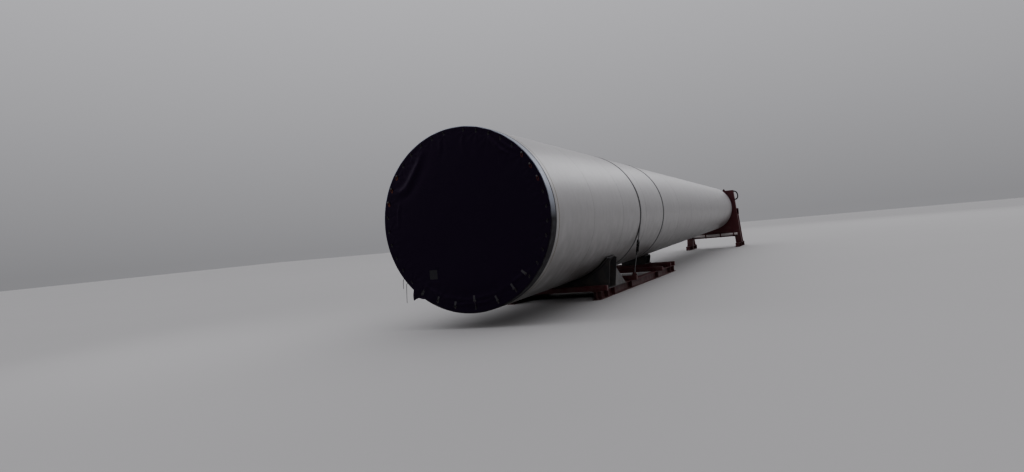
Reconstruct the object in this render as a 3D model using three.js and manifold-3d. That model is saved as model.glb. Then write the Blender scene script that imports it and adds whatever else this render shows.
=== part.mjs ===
// Wind turbine tower section lying level on its transport stands, with weather covers on both ends.
// Millimetres. X points right, Y runs along the tower from the wide end to the narrow end, Z points up.
// In the functions below y = 0 is the face of the wide flange and z = 0 is the floor.
import * as THREE from "three";
import { mergeVertices } from "three/addons/utils/BufferGeometryUtils.js";
import Module from "manifold-3d";

const wasm = await Module();
wasm.setup();

// Tower section
const NEAR_RADIUS = 2100;
const FAR_RADIUS = 1305;
const LENGTH = 33300;
const AXIS_HEIGHT = 2450;
const SHELL_THICKNESS = 20;
const COURSE_COUNT = 11;
const ROUND_SIDES = 64;
const NEAR_FLANGE = { neck: 280, ring: 110, inward: 190 };
const FAR_FLANGE = { neck: 200, ring: 90, inward: 160 };

// Clearance between pieces that lie against each other on curved or cut faces
const GAP = 0.3;
// How far a cutting body runs past what it cuts, and a welded-on one into its neighbour
const OVERLAP = 2;

// Weather covers
const NEAR_COVER_RADIUS = 2085;
const COVER_THICKNESS = 20;
const FAR_COVER_SETBACK = 12;
const POCKET = { left: -1018, right: -773, top: -1011, bottom: -1302, depth: 12 };
const LOOSE_CORNER = {
  outline: [[-1462, -1480], [-1488, -1737], [-1350, -1690], [-1199, -1717], [-1150, -1650]],
  front: -14,
  thickness: 8,
};
const TIE_CORD_DIAMETER = 12;
const CORD_SIDES = 16;

// Lashings: two belts round the shell, each pulled down on one side by a ratchet
const BELT = { width: 120, thickness: 8, sunk: 1 };
const BELT_STATIONS = [8380, 12020];
const LEG_ANGLE = THREE.MathUtils.degToRad(12);
const LEG_START = THREE.MathUtils.degToRad(11.25);
const LEG_LENGTH = 560;
const RATCHET = { length: 440, thickness: 72, width: 136 };
const EYE = { height: 110, reach: 46, width: 110 };

// Rear stand: base frame with two padded cradles, a wide one at the back and a narrow one in front on sleepers
const BASE = { beamX: 1300, rear: 5000, front: 15000 };
const BEAM = { height: 240, width: 240, flange: 17, web: 10 };
const CROSS = { size: 150, halfLength: 1600, stations: [5140, 8380, 12020] };
const CRADLE = {
  halfLength: 450,
  webSetback: 100,
  web: 25,
  plate: 25,
  bottomPlate: 20,
  gussetThickness: 20,
  plateLip: 50,
};
const CRADLES = {
  rear: {
    station: 6100,
    floor: BEAM.height,
    halfWidthLow: 1450,
    halfWidthHigh: 1560,
    wingAngle: 48.5,
    padAngle: 47,
    gussetX: 1430,
    gussetReach: 1150,
    gussetHeight: 700,
  },
  front: {
    station: 14400,
    floor: BEAM.height + CROSS.size,
    halfWidthLow: 470,
    halfWidthHigh: 530,
    wingAngle: 16,
    padAngle: 14.5,
    gussetX: 430,
    gussetReach: 220,
    gussetHeight: 230,
  },
};
const SLEEPER = { size: 150, halfLength: 1450 };
const PAD = { thickness: 30, halfLength: 400 };

// Front stand: adapter frame behind the narrow flange
const FRONT = {
  bracketDepth: 200,
  bracketSize: 220,
  bracketAngle: 45,
  plate: 20,
  topHeight: 3480,
  plateBottom: 700,
  halfWidthTop: 1410,
  halfWidthBase: 1690,
  openingRadius: 980,
  columnWidth: 350,
  columnDepth: 300,
  beamHeight: 300,
  lowBeamBottom: 640,
  beamSetback: 40,
  tubeRadius: 80,
  tubeHeight: 790,
  tubeShortfall: 160,
  tubeSides: 24,
  footRear: -700,
  footFront: 1700,
  braceTop: 2300,
  braceWidth: 140,
  braceInset: 80,
  handrailRadius: 36,
  handrailDrop: 70,
};
// The handrail's line, each point given as out from the column's side and down from the rail's top
const HANDRAIL_LINE = [[-30, 0], [70, 4], [170, 80], [215, 230], [195, 385], [100, 488], [-30, 500]];

// Whole length, which the origin halves
const FRAME_Y = LENGTH + FRONT.bracketDepth;
const FOOT_END = FRAME_Y + FRONT.footFront;
const FRONT_OF_COVER = -(2 * GAP + COVER_THICKNESS + POCKET.depth);
const CENTRE_Y = (FRONT_OF_COVER + FOOT_END) / 2;

const paint = {
  shell: { color: 0xbfbcb7, roughness: 0.42, metalness: 0.0 },
  zinc: { color: 0xa7adb8, roughness: 0.3, metalness: 0.8 },
  tarpaulin: { color: 0x14131c, roughness: 0.6, metalness: 0.0 },
  pocket: { color: 0x2a2a33, roughness: 0.4, metalness: 0.0 },
  cord: { color: 0x1c1b20, roughness: 0.9, metalness: 0.0 },
  webbing: { color: 0x23222a, roughness: 0.85, metalness: 0.0 },
  blackSteel: { color: 0x1b1b1f, roughness: 0.5, metalness: 0.6 },
  darkSteel: { color: 0x2b2a2c, roughness: 0.55, metalness: 0.1 },
  rubber: { color: 0x141414, roughness: 0.9, metalness: 0.0 },
  redFrame: { color: 0x4a1a20, roughness: 0.5, metalness: 0.1 },
  galvanised: { color: 0x9da2a3, roughness: 0.45, metalness: 0.7 },
};

const root = new THREE.Group();
const section = new THREE.Group();
section.position.y = -CENTRE_Y;
root.add(section);

function addPart(name, geometry, finish, height = 0) {
  const mesh = new THREE.Mesh(geometry, new THREE.MeshStandardMaterial(finish));
  mesh.name = name;
  mesh.position.z = height;
  section.add(mesh);
  return mesh;
}

function radiusAt(y) {
  return NEAR_RADIUS - ((NEAR_RADIUS - FAR_RADIUS) * y) / LENGTH;
}

// A closed profile of [radius, y] turned about the tower's axis
function turned(profile) {
  const points = profile.map(([radius, y]) => new THREE.Vector2(radius, y));
  return new THREE.LatheGeometry(points, ROUND_SIDES);
}

function ringProfile(y0, y1, outerOffset, innerOffset) {
  return [
    [radiusAt(y0) + outerOffset, y0],
    [radiusAt(y1) + outerOffset, y1],
    [radiusAt(y1) + innerOffset, y1],
    [radiusAt(y0) + innerOffset, y0],
    [radiusAt(y0) + outerOffset, y0],
  ];
}

function discProfile(y0, y1, r0, r1) {
  return [[0, y0], [r0, y0], [r1, y1], [0, y1]];
}

function shapeOf(outline) {
  return new THREE.Shape(outline.map(([a, b]) => new THREE.Vector2(a, b)));
}

// An outline of [x, z] carried from y0 to y1
function acrossTower(outline, y0, y1) {
  const geometry = new THREE.ExtrudeGeometry(shapeOf(outline), { depth: y1 - y0, bevelEnabled: false });
  geometry.rotateX(Math.PI / 2);
  geometry.translate(0, y1, 0);
  return geometry;
}

// An outline of [y, z] carried from x0 to x1
function alongX(outline, x0, x1) {
  const geometry = new THREE.ExtrudeGeometry(shapeOf(outline), { depth: x1 - x0, bevelEnabled: false });
  const turn = new THREE.Matrix4().set(0, 0, 1, x0, 1, 0, 0, 0, 0, 1, 0, 0, 0, 0, 0, 1);
  return geometry.applyMatrix4(turn);
}

function block(x0, x1, y0, y1, z0, z1) {
  const geometry = new THREE.BoxGeometry(x1 - x0, y1 - y0, z1 - z0);
  geometry.translate((x0 + x1) / 2, (y0 + y1) / 2, (z0 + z1) / 2);
  return geometry;
}

// A round bar along a path, in a number of straight steps
function roundTube(path, radius, steps) {
  const round = new THREE.Shape();
  round.absarc(0, 0, radius, 0, 2 * Math.PI);
  const options = { steps, curveSegments: CORD_SIDES / 2, bevelEnabled: false, extrudePath: path };
  return new THREE.ExtrudeGeometry(round, options);
}

function toSolid(geometry) {
  const bare = geometry.index ? geometry.toNonIndexed() : geometry.clone();
  bare.deleteAttribute("normal");
  bare.deleteAttribute("uv");
  const merged = mergeVertices(bare, 1e-3);
  const mesh = new wasm.Mesh({
    numProp: 3,
    vertProperties: merged.attributes.position.array,
    triVerts: new Uint32Array(merged.index.array),
  });
  return new wasm.Manifold(mesh);
}

function toGeometry(solid) {
  const mesh = solid.getMesh();
  const geometry = new THREE.BufferGeometry();
  geometry.setAttribute("position", new THREE.BufferAttribute(mesh.vertProperties, 3));
  geometry.setIndex(new THREE.BufferAttribute(mesh.triVerts, 1));
  geometry.computeVertexNormals();
  return geometry;
}

// The tower's outer surface between two stations, grown by an offset, at its height above the floor
function coneSolid(y0, y1, offset) {
  const geometry = turned(discProfile(y0, y1, radiusAt(y0) + offset, radiusAt(y1) + offset));
  geometry.translate(0, 0, AXIS_HEIGHT);
  return toSolid(geometry);
}

// A curved plate under the tower, between two offsets from its surface
function underPlate(y0, y1, innerOffset, outerOffset, wingAngle) {
  const ring = turned(ringProfile(y0, y1, outerOffset, innerOffset));
  ring.translate(0, 0, AXIS_HEIGHT);
  const reach = 2 * NEAR_RADIUS;
  const half = THREE.MathUtils.degToRad(wingAngle);
  const low = AXIS_HEIGHT - reach * Math.cos(half);
  const wedge = [[0, AXIS_HEIGHT], [-reach * Math.sin(half), low], [reach * Math.sin(half), low]];
  return toSolid(ring).intersect(toSolid(acrossTower(wedge, y0 - OVERLAP, y1 + OVERLAP)));
}

// Shell: rolled courses between two flanges with welding necks
function addShell() {
  const near = NEAR_FLANGE;
  const nearProfile = [
    [radiusAt(0), 0],
    [radiusAt(near.neck), near.neck],
    [radiusAt(near.neck) - SHELL_THICKNESS, near.neck],
    [radiusAt(near.ring) - SHELL_THICKNESS, near.ring],
    [NEAR_RADIUS - near.inward, near.ring],
    [NEAR_RADIUS - near.inward, 0],
    [radiusAt(0), 0],
  ];
  addPart("near_flange", turned(nearProfile), paint.zinc, AXIS_HEIGHT);

  const far = FAR_FLANGE;
  const neckStart = LENGTH - far.neck;
  const ringStart = LENGTH - far.ring;
  const farProfile = [
    [radiusAt(neckStart), neckStart],
    [radiusAt(LENGTH), LENGTH],
    [FAR_RADIUS - far.inward, LENGTH],
    [FAR_RADIUS - far.inward, ringStart],
    [radiusAt(ringStart) - SHELL_THICKNESS, ringStart],
    [radiusAt(neckStart) - SHELL_THICKNESS, neckStart],
    [radiusAt(neckStart), neckStart],
  ];
  addPart("far_flange", turned(farProfile), paint.zinc, AXIS_HEIGHT);

  const courseLength = (neckStart - near.neck) / COURSE_COUNT;
  for (let i = 0; i < COURSE_COUNT; i++) {
    const start = near.neck + i * courseLength;
    const end = i === COURSE_COUNT - 1 ? neckStart : near.neck + (i + 1) * courseLength;
    const name = "shell_course_" + String(i + 1).padStart(2, "0");
    addPart(name, turned(ringProfile(start, end, 0, -SHELL_THICKNESS)), paint.shell, AXIS_HEIGHT);
  }
}

// Covers: one over the wide flange's face, one inside the narrow flange
function addCovers() {
  const back = -GAP;
  const front = back - COVER_THICKNESS;
  const near = turned(discProfile(front, back, NEAR_COVER_RADIUS, NEAR_COVER_RADIUS));
  addPart("near_cover", near, paint.tarpaulin, AXIS_HEIGHT);

  const farEnd = LENGTH - FAR_COVER_SETBACK;
  const farRadius = FAR_RADIUS - FAR_FLANGE.inward - GAP;
  const far = turned(discProfile(farEnd - COVER_THICKNESS, farEnd, farRadius, farRadius));
  addPart("far_cover", far, paint.tarpaulin, AXIS_HEIGHT);

  const pocketBack = front - GAP;
  const pocket = block(
    POCKET.left, POCKET.right,
    pocketBack - POCKET.depth, pocketBack,
    AXIS_HEIGHT + POCKET.bottom, AXIS_HEIGHT + POCKET.top,
  );
  addPart("near_cover_pocket", pocket, paint.pocket);

  const flapBack = LOOSE_CORNER.front + LOOSE_CORNER.thickness;
  const flap = acrossTower(LOOSE_CORNER.outline, LOOSE_CORNER.front, flapBack);
  const coverRadius = NEAR_COVER_RADIUS + GAP;
  const disc = turned(discProfile(front - OVERLAP, 0, coverRadius, coverRadius));
  const corner = toSolid(flap).subtract(toSolid(disc));
  addPart("near_cover_loose_corner", toGeometry(corner), paint.tarpaulin, AXIS_HEIGHT);
}

// Routes of two free ends of tie cord: out of the wide flange's rim, then down. Heights are from the axis.
const TIE_CORD_LONG = [
  [-1629.3, 15, -1324.1], [-1640.5, 15, -1332.4], [-1651, 15, -1343.2], [-1659.3, 14.5, -1357],
  [-1664, 14, -1375], [-1666.5, 13.5, -1398], [-1668.5, 13, -1425], [-1670.5, 12.5, -1456],
  [-1673, 12, -1490], [-1676, 12, -1528], [-1679, 12, -1570], [-1682, 12, -1615],
  [-1685, 12, -1662], [-1688, 12, -1712], [-1690, 12, -1750], [-1691, 12, -1786],
];
const TIE_CORD_SHORT = [
  [-1707.8, 15, -1218.2], [-1719, 15, -1226.5], [-1729.5, 15, -1237.3], [-1738, 14.5, -1251],
  [-1743, 14, -1268], [-1745.5, 13.5, -1286], [-1747, 13, -1305], [-1748, 12.5, -1324],
  [-1749, 12, -1343], [-1750, 12, -1362], [-1750.5, 12, -1381], [-1751, 12, -1400],
  [-1751, 12, -1418], [-1751, 12, -1437], [-1751, 12, -1455],
];

function addTieCord(name, points) {
  const path = new THREE.CatmullRomCurve3(points.map(([x, y, z]) => new THREE.Vector3(x, y, z)));
  addPart(name, roundTube(path, TIE_CORD_DIAMETER / 2, points.length), paint.cord, AXIS_HEIGHT);
}

function addTieCords() {
  addTieCord("tie_cord_long", TIE_CORD_LONG);
  addTieCord("tie_cord_short", TIE_CORD_SHORT);
}

// A strip in the cross-section, its inner edge on the line from start along direction
function strip(start, direction, from, to, inner, outer, y0, y1, side) {
  const normal = [-direction[1], direction[0]];
  const corner = (s, n) => [
    side * (start[0] + direction[0] * s + normal[0] * n),
    start[1] + direction[1] * s + normal[1] * n,
  ];
  const outline = [corner(from, inner), corner(to, inner), corner(to, outer), corner(from, outer)];
  return acrossTower(outline, y0, y1);
}

// One belt with its ratchet and lower strap; gives the place across the tower where the strap ends
function addLashing(number, station, side) {
  const y0 = station - BELT.width / 2;
  const y1 = station + BELT.width / 2;
  const inner = radiusAt(y0) + GAP;
  const ring = turned([
    [inner + BELT.thickness, y0],
    [inner + BELT.thickness, y1],
    [inner, y1],
    [inner, y0],
    [inner + BELT.thickness, y0],
  ]);
  ring.translate(0, 0, AXIS_HEIGHT);
  const startRadius = inner + BELT.sunk;
  const start = [startRadius * Math.cos(LEG_START), AXIS_HEIGHT - startRadius * Math.sin(LEG_START)];
  const down = [-Math.sin(LEG_ANGLE), -Math.cos(LEG_ANGLE)];
  const leg = strip(start, down, 0, LEG_LENGTH, 0, BELT.thickness, y0, y1, side);
  addPart("lashing_belt_" + number, toGeometry(toSolid(ring).add(toSolid(leg))), paint.webbing);

  const middle = BELT.thickness / 2;
  const ratchetEnd = LEG_LENGTH + GAP + RATCHET.length;
  const ratchet = strip(
    start, down, LEG_LENGTH + GAP, ratchetEnd,
    middle - RATCHET.thickness / 2, middle + RATCHET.thickness / 2,
    station - RATCHET.width / 2, station + RATCHET.width / 2, side,
  );
  addPart("ratchet_" + number, ratchet, paint.blackSteel);

  const beamTop = BEAM.height + CROSS.size;
  const eyeTop = beamTop + EYE.height;
  const strapEnd = (start[1] - eyeTop - GAP) / Math.cos(LEG_ANGLE) - BELT.thickness * Math.tan(LEG_ANGLE);
  const strap = strip(start, down, ratchetEnd + GAP, strapEnd, 0, BELT.thickness, y0, y1, side);
  addPart("ratchet_strap_" + number, strap, paint.webbing);

  return side * (start[0] + down[0] * strapEnd + middle);
}

// A rolled beam's section, [across, up], standing on z = 0
function beamOutline(centre) {
  const half = BEAM.width / 2;
  const web = BEAM.web / 2;
  const top = BEAM.height;
  const under = BEAM.height - BEAM.flange;
  return [
    [-half, 0], [half, 0], [half, BEAM.flange], [web, BEAM.flange], [web, under], [half, under],
    [half, top], [-half, top], [-half, under], [-web, under], [-web, BEAM.flange], [-half, BEAM.flange],
  ].map(([a, z]) => [a + centre, z]);
}

function addBaseFrame() {
  for (const [label, side] of [["left", -1], ["right", 1]]) {
    const beam = acrossTower(beamOutline(side * BASE.beamX), BASE.rear, BASE.front);
    addPart("base_beam_" + label, beam, paint.redFrame);
  }
  const eyes = { middle: addLashing(1, BELT_STATIONS[0], 1), front: addLashing(2, BELT_STATIONS[1], -1) };
  ["rear", "middle", "front"].forEach((label, i) => {
    const station = CROSS.stations[i];
    const half = CROSS.size / 2;
    const top = BEAM.height + CROSS.size;
    const beam = block(-CROSS.halfLength, CROSS.halfLength, station - half, station + half, BEAM.height, top);
    let solid = toSolid(beam);
    if (label in eyes) {
      const eye = block(
        eyes[label] - EYE.reach, eyes[label] + EYE.reach,
        station - EYE.width / 2, station + EYE.width / 2,
        top - OVERLAP, top + EYE.height,
      );
      solid = solid.add(toSolid(eye));
    }
    addPart("base_cross_beam_" + label, toGeometry(solid), paint.redFrame);
  });
}

// A transverse plate from the bottom plate up to the saddle plate, cut to the tower's curve
function cradleWeb(cradle, y0, y1, cutOffset) {
  const bottom = cradle.floor + CRADLE.bottomPlate / 2;
  const wing = THREE.MathUtils.degToRad(cradle.wingAngle);
  const top = AXIS_HEIGHT - (radiusAt(y0) + cutOffset) * Math.cos(wing);
  const outline = [
    [-cradle.halfWidthLow, bottom], [cradle.halfWidthLow, bottom],
    [cradle.halfWidthHigh, top], [-cradle.halfWidthHigh, top],
  ];
  return toSolid(acrossTower(outline, y0, y1)).subtract(coneSolid(y0 - OVERLAP, y1 + OVERLAP, cutOffset));
}

// Triangular stiffener standing on the bottom plate against the web
function gusset(cradle, side, y) {
  const x = side * cradle.gussetX;
  const bottom = cradle.floor + CRADLE.bottomPlate / 2;
  const half = CRADLE.gussetThickness / 2;
  const outline = [[y, bottom], [y + cradle.gussetReach, bottom], [y, bottom + cradle.gussetHeight]];
  return toSolid(alongX(outline, x - half, x + half));
}

// A square bar across both base beams, under a cradle that stands higher than the beams
function sleeper(cradle, y) {
  const half = SLEEPER.size / 2;
  const top = cradle.floor + OVERLAP;
  return toSolid(block(-SLEEPER.halfLength, SLEEPER.halfLength, y - half, y + half, BEAM.height, top));
}

function addCradle(label) {
  const cradle = CRADLES[label];
  const y0 = cradle.station - CRADLE.halfLength;
  const y1 = cradle.station + CRADLE.halfLength;
  const padOuter = GAP + PAD.thickness;
  const plateInner = padOuter + GAP;
  const plateMiddle = plateInner + CRADLE.plate / 2;

  const padStart = cradle.station - PAD.halfLength;
  const padEnd = cradle.station + PAD.halfLength;
  const pad = underPlate(padStart, padEnd, GAP, padOuter, cradle.padAngle);
  addPart("cradle_" + label + "_pad", toGeometry(pad), paint.rubber);

  const rear = y0 + CRADLE.webSetback;
  const front = y1 - CRADLE.webSetback;
  const plate = block(
    -cradle.halfWidthLow, cradle.halfWidthLow,
    rear - CRADLE.plateLip, front + cradle.gussetReach + CRADLE.plateLip,
    cradle.floor, cradle.floor + CRADLE.bottomPlate,
  );
  let weldment = underPlate(y0, y1, plateInner, plateInner + CRADLE.plate, cradle.wingAngle)
    .add(cradleWeb(cradle, rear, rear + CRADLE.web, plateMiddle))
    .add(cradleWeb(cradle, front - CRADLE.web, front, plateMiddle))
    .add(toSolid(plate))
    .add(gusset(cradle, -1, front - CRADLE.web / 2))
    .add(gusset(cradle, 1, front - CRADLE.web / 2));
  if (cradle.floor > BEAM.height) {
    weldment = weldment.add(sleeper(cradle, rear)).add(sleeper(cradle, front));
  }
  addPart("cradle_" + label, toGeometry(weldment), paint.darkSteel);
}

// Half width of the front frame at a height
function frontHalfWidth(z) {
  const share = z / FRONT.topHeight;
  return FRONT.halfWidthBase + (FRONT.halfWidthTop - FRONT.halfWidthBase) * share;
}

function addFrontFrame() {
  const low = FRONT.plateBottom;
  const top = FRONT.topHeight;
  const plateOutline = [
    [-frontHalfWidth(low), low], [frontHalfWidth(low), low],
    [frontHalfWidth(top), top], [-frontHalfWidth(top), top],
  ];
  const plateBack = FRAME_Y + FRONT.plate;
  const openingProfile = discProfile(
    FRAME_Y - OVERLAP, plateBack + OVERLAP, FRONT.openingRadius, FRONT.openingRadius,
  );
  const opening = turned(openingProfile);
  opening.translate(0, 0, AXIS_HEIGHT);
  let plate = toSolid(acrossTower(plateOutline, FRAME_Y, plateBack)).subtract(toSolid(opening));
  const angle = THREE.MathUtils.degToRad(FRONT.bracketAngle);
  const flangeMiddle = FAR_RADIUS - FAR_FLANGE.inward / 2;
  const half = FRONT.bracketSize / 2;
  for (const sideX of [-1, 1]) {
    for (const sideZ of [-1, 1]) {
      const x = sideX * flangeMiddle * Math.cos(angle);
      const z = AXIS_HEIGHT + sideZ * flangeMiddle * Math.sin(angle);
      const middle = FRAME_Y + FRONT.plate / 2;
      plate = plate.add(toSolid(block(x - half, x + half, LENGTH, middle, z - half, z + half)));
    }
  }
  addPart("front_face_plate", toGeometry(plate), paint.redFrame);

  const columnFront = plateBack + FRONT.columnDepth;
  const footTop = BEAM.height;
  for (const [label, side] of [["left", -1], ["right", 1]]) {
    const outer = (z) => side * frontHalfWidth(z);
    const inner = (z) => side * (frontHalfWidth(z) - FRONT.columnWidth);
    const outline = [
      [outer(footTop), footTop], [outer(top), top],
      [inner(top), top], [inner(footTop), footTop],
    ];
    addPart("front_column_" + label, acrossTower(outline, plateBack, columnFront), paint.redFrame);

    const footX = side * (frontHalfWidth(footTop) - FRONT.columnWidth / 2);
    const foot = acrossTower(beamOutline(footX), FRAME_Y + FRONT.footRear, FOOT_END);
    addPart("front_foot_" + label, foot, paint.redFrame);

    const braceEnd = FOOT_END - FRONT.braceInset;
    const slope = (FRONT.braceTop - footTop) / (braceEnd - columnFront);
    const rise = FRONT.braceWidth * Math.hypot(1, slope);
    const brace = alongX([
      [columnFront, FRONT.braceTop], [columnFront, FRONT.braceTop - rise],
      [braceEnd - rise / slope, footTop], [braceEnd, footTop],
    ], footX - FRONT.braceWidth / 2, footX + FRONT.braceWidth / 2);
    addPart("front_brace_" + label, brace, paint.redFrame);
  }

  const beams = [["top", top - FRONT.beamHeight], ["low", FRONT.lowBeamBottom]];
  for (const [label, bottom] of beams) {
    const reach = (z) => frontHalfWidth(z) - FRONT.columnWidth - GAP;
    const upper = bottom + FRONT.beamHeight;
    const outline = [
      [-reach(bottom), bottom], [reach(bottom), bottom],
      [reach(upper), upper], [-reach(upper), upper],
    ];
    const beam = acrossTower(outline, plateBack, columnFront - FRONT.beamSetback);
    addPart("front_" + label + "_beam", beam, paint.redFrame);
  }

  const tubeReach = frontHalfWidth(FRONT.tubeHeight) - FRONT.tubeShortfall;
  const tube = new THREE.CylinderGeometry(
    FRONT.tubeRadius, FRONT.tubeRadius, 2 * tubeReach, FRONT.tubeSides,
  );
  tube.rotateZ(Math.PI / 2);
  tube.translate(0, FRAME_Y - GAP - FRONT.tubeRadius, FRONT.tubeHeight);
  addPart("front_hinge_tube", tube, paint.galvanised);

  addHandrail(top, plateBack, columnFront);
}

// A bent tube on the right column, its ends cut to the column's sloping side
function addHandrail(top, columnBack, columnFront) {
  const railY = (columnBack + columnFront) / 2;
  const railTop = top - FRONT.handrailDrop;
  const path = new THREE.CatmullRomCurve3(HANDRAIL_LINE.map(([out, down]) => {
    const z = railTop - down;
    return new THREE.Vector3(frontHalfWidth(z) + out, railY, z);
  }));
  const tube = roundTube(path, FRONT.handrailRadius, 3 * HANDRAIL_LINE.length);
  const side = [
    [frontHalfWidth(0) + GAP, 0], [frontHalfWidth(top) + GAP, top], [0, top], [0, 0],
  ];
  const column = acrossTower(side, columnBack - OVERLAP, columnFront + OVERLAP);
  const rail = toSolid(tube).subtract(toSolid(column));
  addPart("front_handrail", toGeometry(rail), paint.galvanised);
}

addShell();
addCovers();
addTieCords();
addBaseFrame();
addCradle("rear");
addCradle("front");
addFrontFrame();

export default root;
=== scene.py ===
"""Dresses the wind turbine tower section on its transport stands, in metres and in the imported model's frame.
y_local runs along the tower from the face of its wide flange, and a height named up is from its axis."""
import math
import random

import bmesh
import bpy
import numpy as np
from mathutils import Matrix, Vector, noise


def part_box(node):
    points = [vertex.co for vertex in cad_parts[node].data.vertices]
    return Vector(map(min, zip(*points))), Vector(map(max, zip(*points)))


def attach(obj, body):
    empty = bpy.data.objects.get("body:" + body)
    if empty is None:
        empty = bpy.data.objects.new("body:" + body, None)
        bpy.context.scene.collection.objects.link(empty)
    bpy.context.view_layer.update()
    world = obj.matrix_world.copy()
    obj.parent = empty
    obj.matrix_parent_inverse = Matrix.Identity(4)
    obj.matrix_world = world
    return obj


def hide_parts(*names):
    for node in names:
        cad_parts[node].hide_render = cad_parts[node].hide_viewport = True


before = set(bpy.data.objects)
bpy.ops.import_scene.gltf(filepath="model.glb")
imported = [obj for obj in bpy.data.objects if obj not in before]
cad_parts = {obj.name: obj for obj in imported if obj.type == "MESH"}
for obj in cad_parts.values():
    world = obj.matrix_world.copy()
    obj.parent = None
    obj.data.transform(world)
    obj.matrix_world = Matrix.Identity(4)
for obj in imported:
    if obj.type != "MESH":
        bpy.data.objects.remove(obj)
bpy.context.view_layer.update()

BODY = "root"
SIDES = (("left", -1), ("right", 1))
rng = random.Random(7)

# Places taken from the frame
NEAR_LOW, NEAR_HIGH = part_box("near_flange")
NEAR_Y = NEAR_LOW.y
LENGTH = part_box("far_flange")[1].y - NEAR_Y
AXIS_Z = (NEAR_LOW.z + NEAR_HIGH.z) / 2

# Camera, from the outlines of the wide rim and the cone in the photograph
PHOTO_WIDTH = 1024
FOCAL_PIXELS = 769.0
CAMERA_FROM_NEAR_CENTRE = (7.898, -15.345, -0.401)
CAMERA_RIGHT = Vector((0.91118, 0.40166, -0.09152))
CAMERA_UP = Vector((0.08252, 0.03969, 0.99580))

# Light: the sky's strength, and what is added to it in the direction that the narrow end faces
SKY_COLOUR = (0.965, 0.96, 1.0, 1)
SKY_AT_HORIZON = 0.28
SKY_AT_ZENITH = 1.20
SKY_AHEAD = 0.06
EXPOSURE = -0.38
# Each lamp: its place, what it faces, its size, power, colour and spread in degrees
LAMPS = {
    "far_sky": ((16, 60, 30), (0, 0, 2), (40, 16), 3200, (0.97, 0.97, 1), 180),
    "cover_side": ((-9, -20.5, 8.5), (-0.5, -17.6, 2.6), (9, 9), 150, (0.95, 0.95, 1), 140),
}
FLOOR_REACH = 140.0

# Steelwork: bolt heads' widths across flats by thread, weld beads' radii, and widths of rounded edges
M8 = 0.013
M12 = 0.018
M16 = 0.024
M20 = 0.030
M22 = 0.034
M24 = 0.036
THIN_WELD = 0.004
WELD = 0.005
HEAVY_WELD = 0.006
EASED_EDGE = 0.0015
PLATE_EDGE = 0.002

# Tower section
NEAR_RADIUS = 2.100
FAR_RADIUS = 1.305
SHELL_THICKNESS = 0.020
COURSE_COUNT = 11
NEAR_NECK = 0.280
FAR_NECK = 0.200
LIP = 0.015
ROUND = 256
# Each flange: its face, the way its neck points, the lengths of neck and flat ring, how far the ring reaches
# inwards, and the circle, radius and number of its bolt holes
FLANGES = {
    "near": {"face": 0.0, "towards": 1, "neck": NEAR_NECK, "ring": 0.110, "inward": 0.190,
             "pitch": 1.995, "hole": 0.026, "count": 112},
    "far": {"face": LENGTH, "towards": -1, "neck": FAR_NECK, "ring": 0.090, "inward": 0.160,
            "pitch": 1.228, "hole": 0.021, "count": 76},
}

# Rear stand. Heights here are from the floor.
BEAM_HEIGHT = 0.240
BASE_X = 1.300
BASE_ENDS = (5.000, 15.000)
CROSS_TOP = 0.390
CROSS_HALF = 1.600
CROSS_STATIONS = {"rear": 5.140, "middle": 8.380, "front": 12.020}
TUBE_HALF = (CROSS_TOP - BEAM_HEIGHT) / 2
CRADLES = {
    "rear": {
        "station": 6.100, "floor": BEAM_HEIGHT, "half_low": 1.450, "half_high": 1.560, "wing": 48.5,
        "pad": 47.0, "blocks": 13, "braces": (0.45, 0.9), "bolt_rows": (-0.68, -0.36, 0.1, 0.55, 1.0),
        "bolt_x": (1.225, 1.375), "gusset_x": 1.430, "gusset_reach": 1.1375, "gusset_height": 0.690,
    },
    "front": {
        "station": 14.400, "floor": CROSS_TOP, "half_low": 0.470, "half_high": 0.530, "wing": 16.0,
        "pad": 14.5, "blocks": 4, "braces": (0.2,), "bolt_rows": (-0.735, -0.665, -0.035, 0.035),
        "bolt_x": (0.15, 0.38), "gusset_x": 0.430, "gusset_reach": 0.2075, "gusset_height": 0.220,
    },
}
CRADLE_HALF_LENGTH = 0.450
WEB_SETBACK = 0.100
WEB = 0.025
SADDLE_PLATE = 0.025
BOTTOM_PLATE = 0.020
SLEEPER_HALF = 1.450
PAD_THICKNESS = 0.030

# Lashings
BELT_WIDTH = 0.120
BELT_THICKNESS = 0.005
LEG_ANGLE = math.radians(12)
LEG_START = math.radians(11.25)
LEG_LENGTH = 0.560
RATCHET_LENGTH = 0.440
SPINDLE = 0.100
FIXED_BOLT = 0.415
EYE_UP = CROSS_TOP + 0.060

# Front frame. Heights here are from the floor.
FACE_PLATE = 0.020
FRAME_Y = LENGTH + 0.200
PLATE_REAR = NEAR_Y + FRAME_Y
PLATE_FRONT = PLATE_REAR + FACE_PLATE
PLATE_LOW = 0.700
PLATE_OPENING = 0.980
FRAME_TOP = 3.480
FRAME_HALF_AT_FLOOR = 1.690
FRAME_HALF_AT_TOP = 1.410
COLUMN_WIDTH = 0.350
COLUMN_FOOT_PLATE = 0.020
COLUMN_CAP = 0.012
COLUMN_FRONT = PLATE_FRONT + 0.300
BEAM_FRONT = PLATE_FRONT + 0.260
FRAME_BEAMS = {"top": 3.180, "low": 0.640}
FRAME_BEAM_HEIGHT = 0.300
LUG_X = 0.850
RIB_X = 0.620
FOOT_REAR = PLATE_REAR - 0.700
FOOT_FRONT = PLATE_REAR + 1.700
BRACE_TOP = 2.300
BRACE_DEPTH = 0.140
HINGE_UP = 0.790
HINGE_RADIUS = 0.080
HANDRAIL_RADIUS = 0.036

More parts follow.
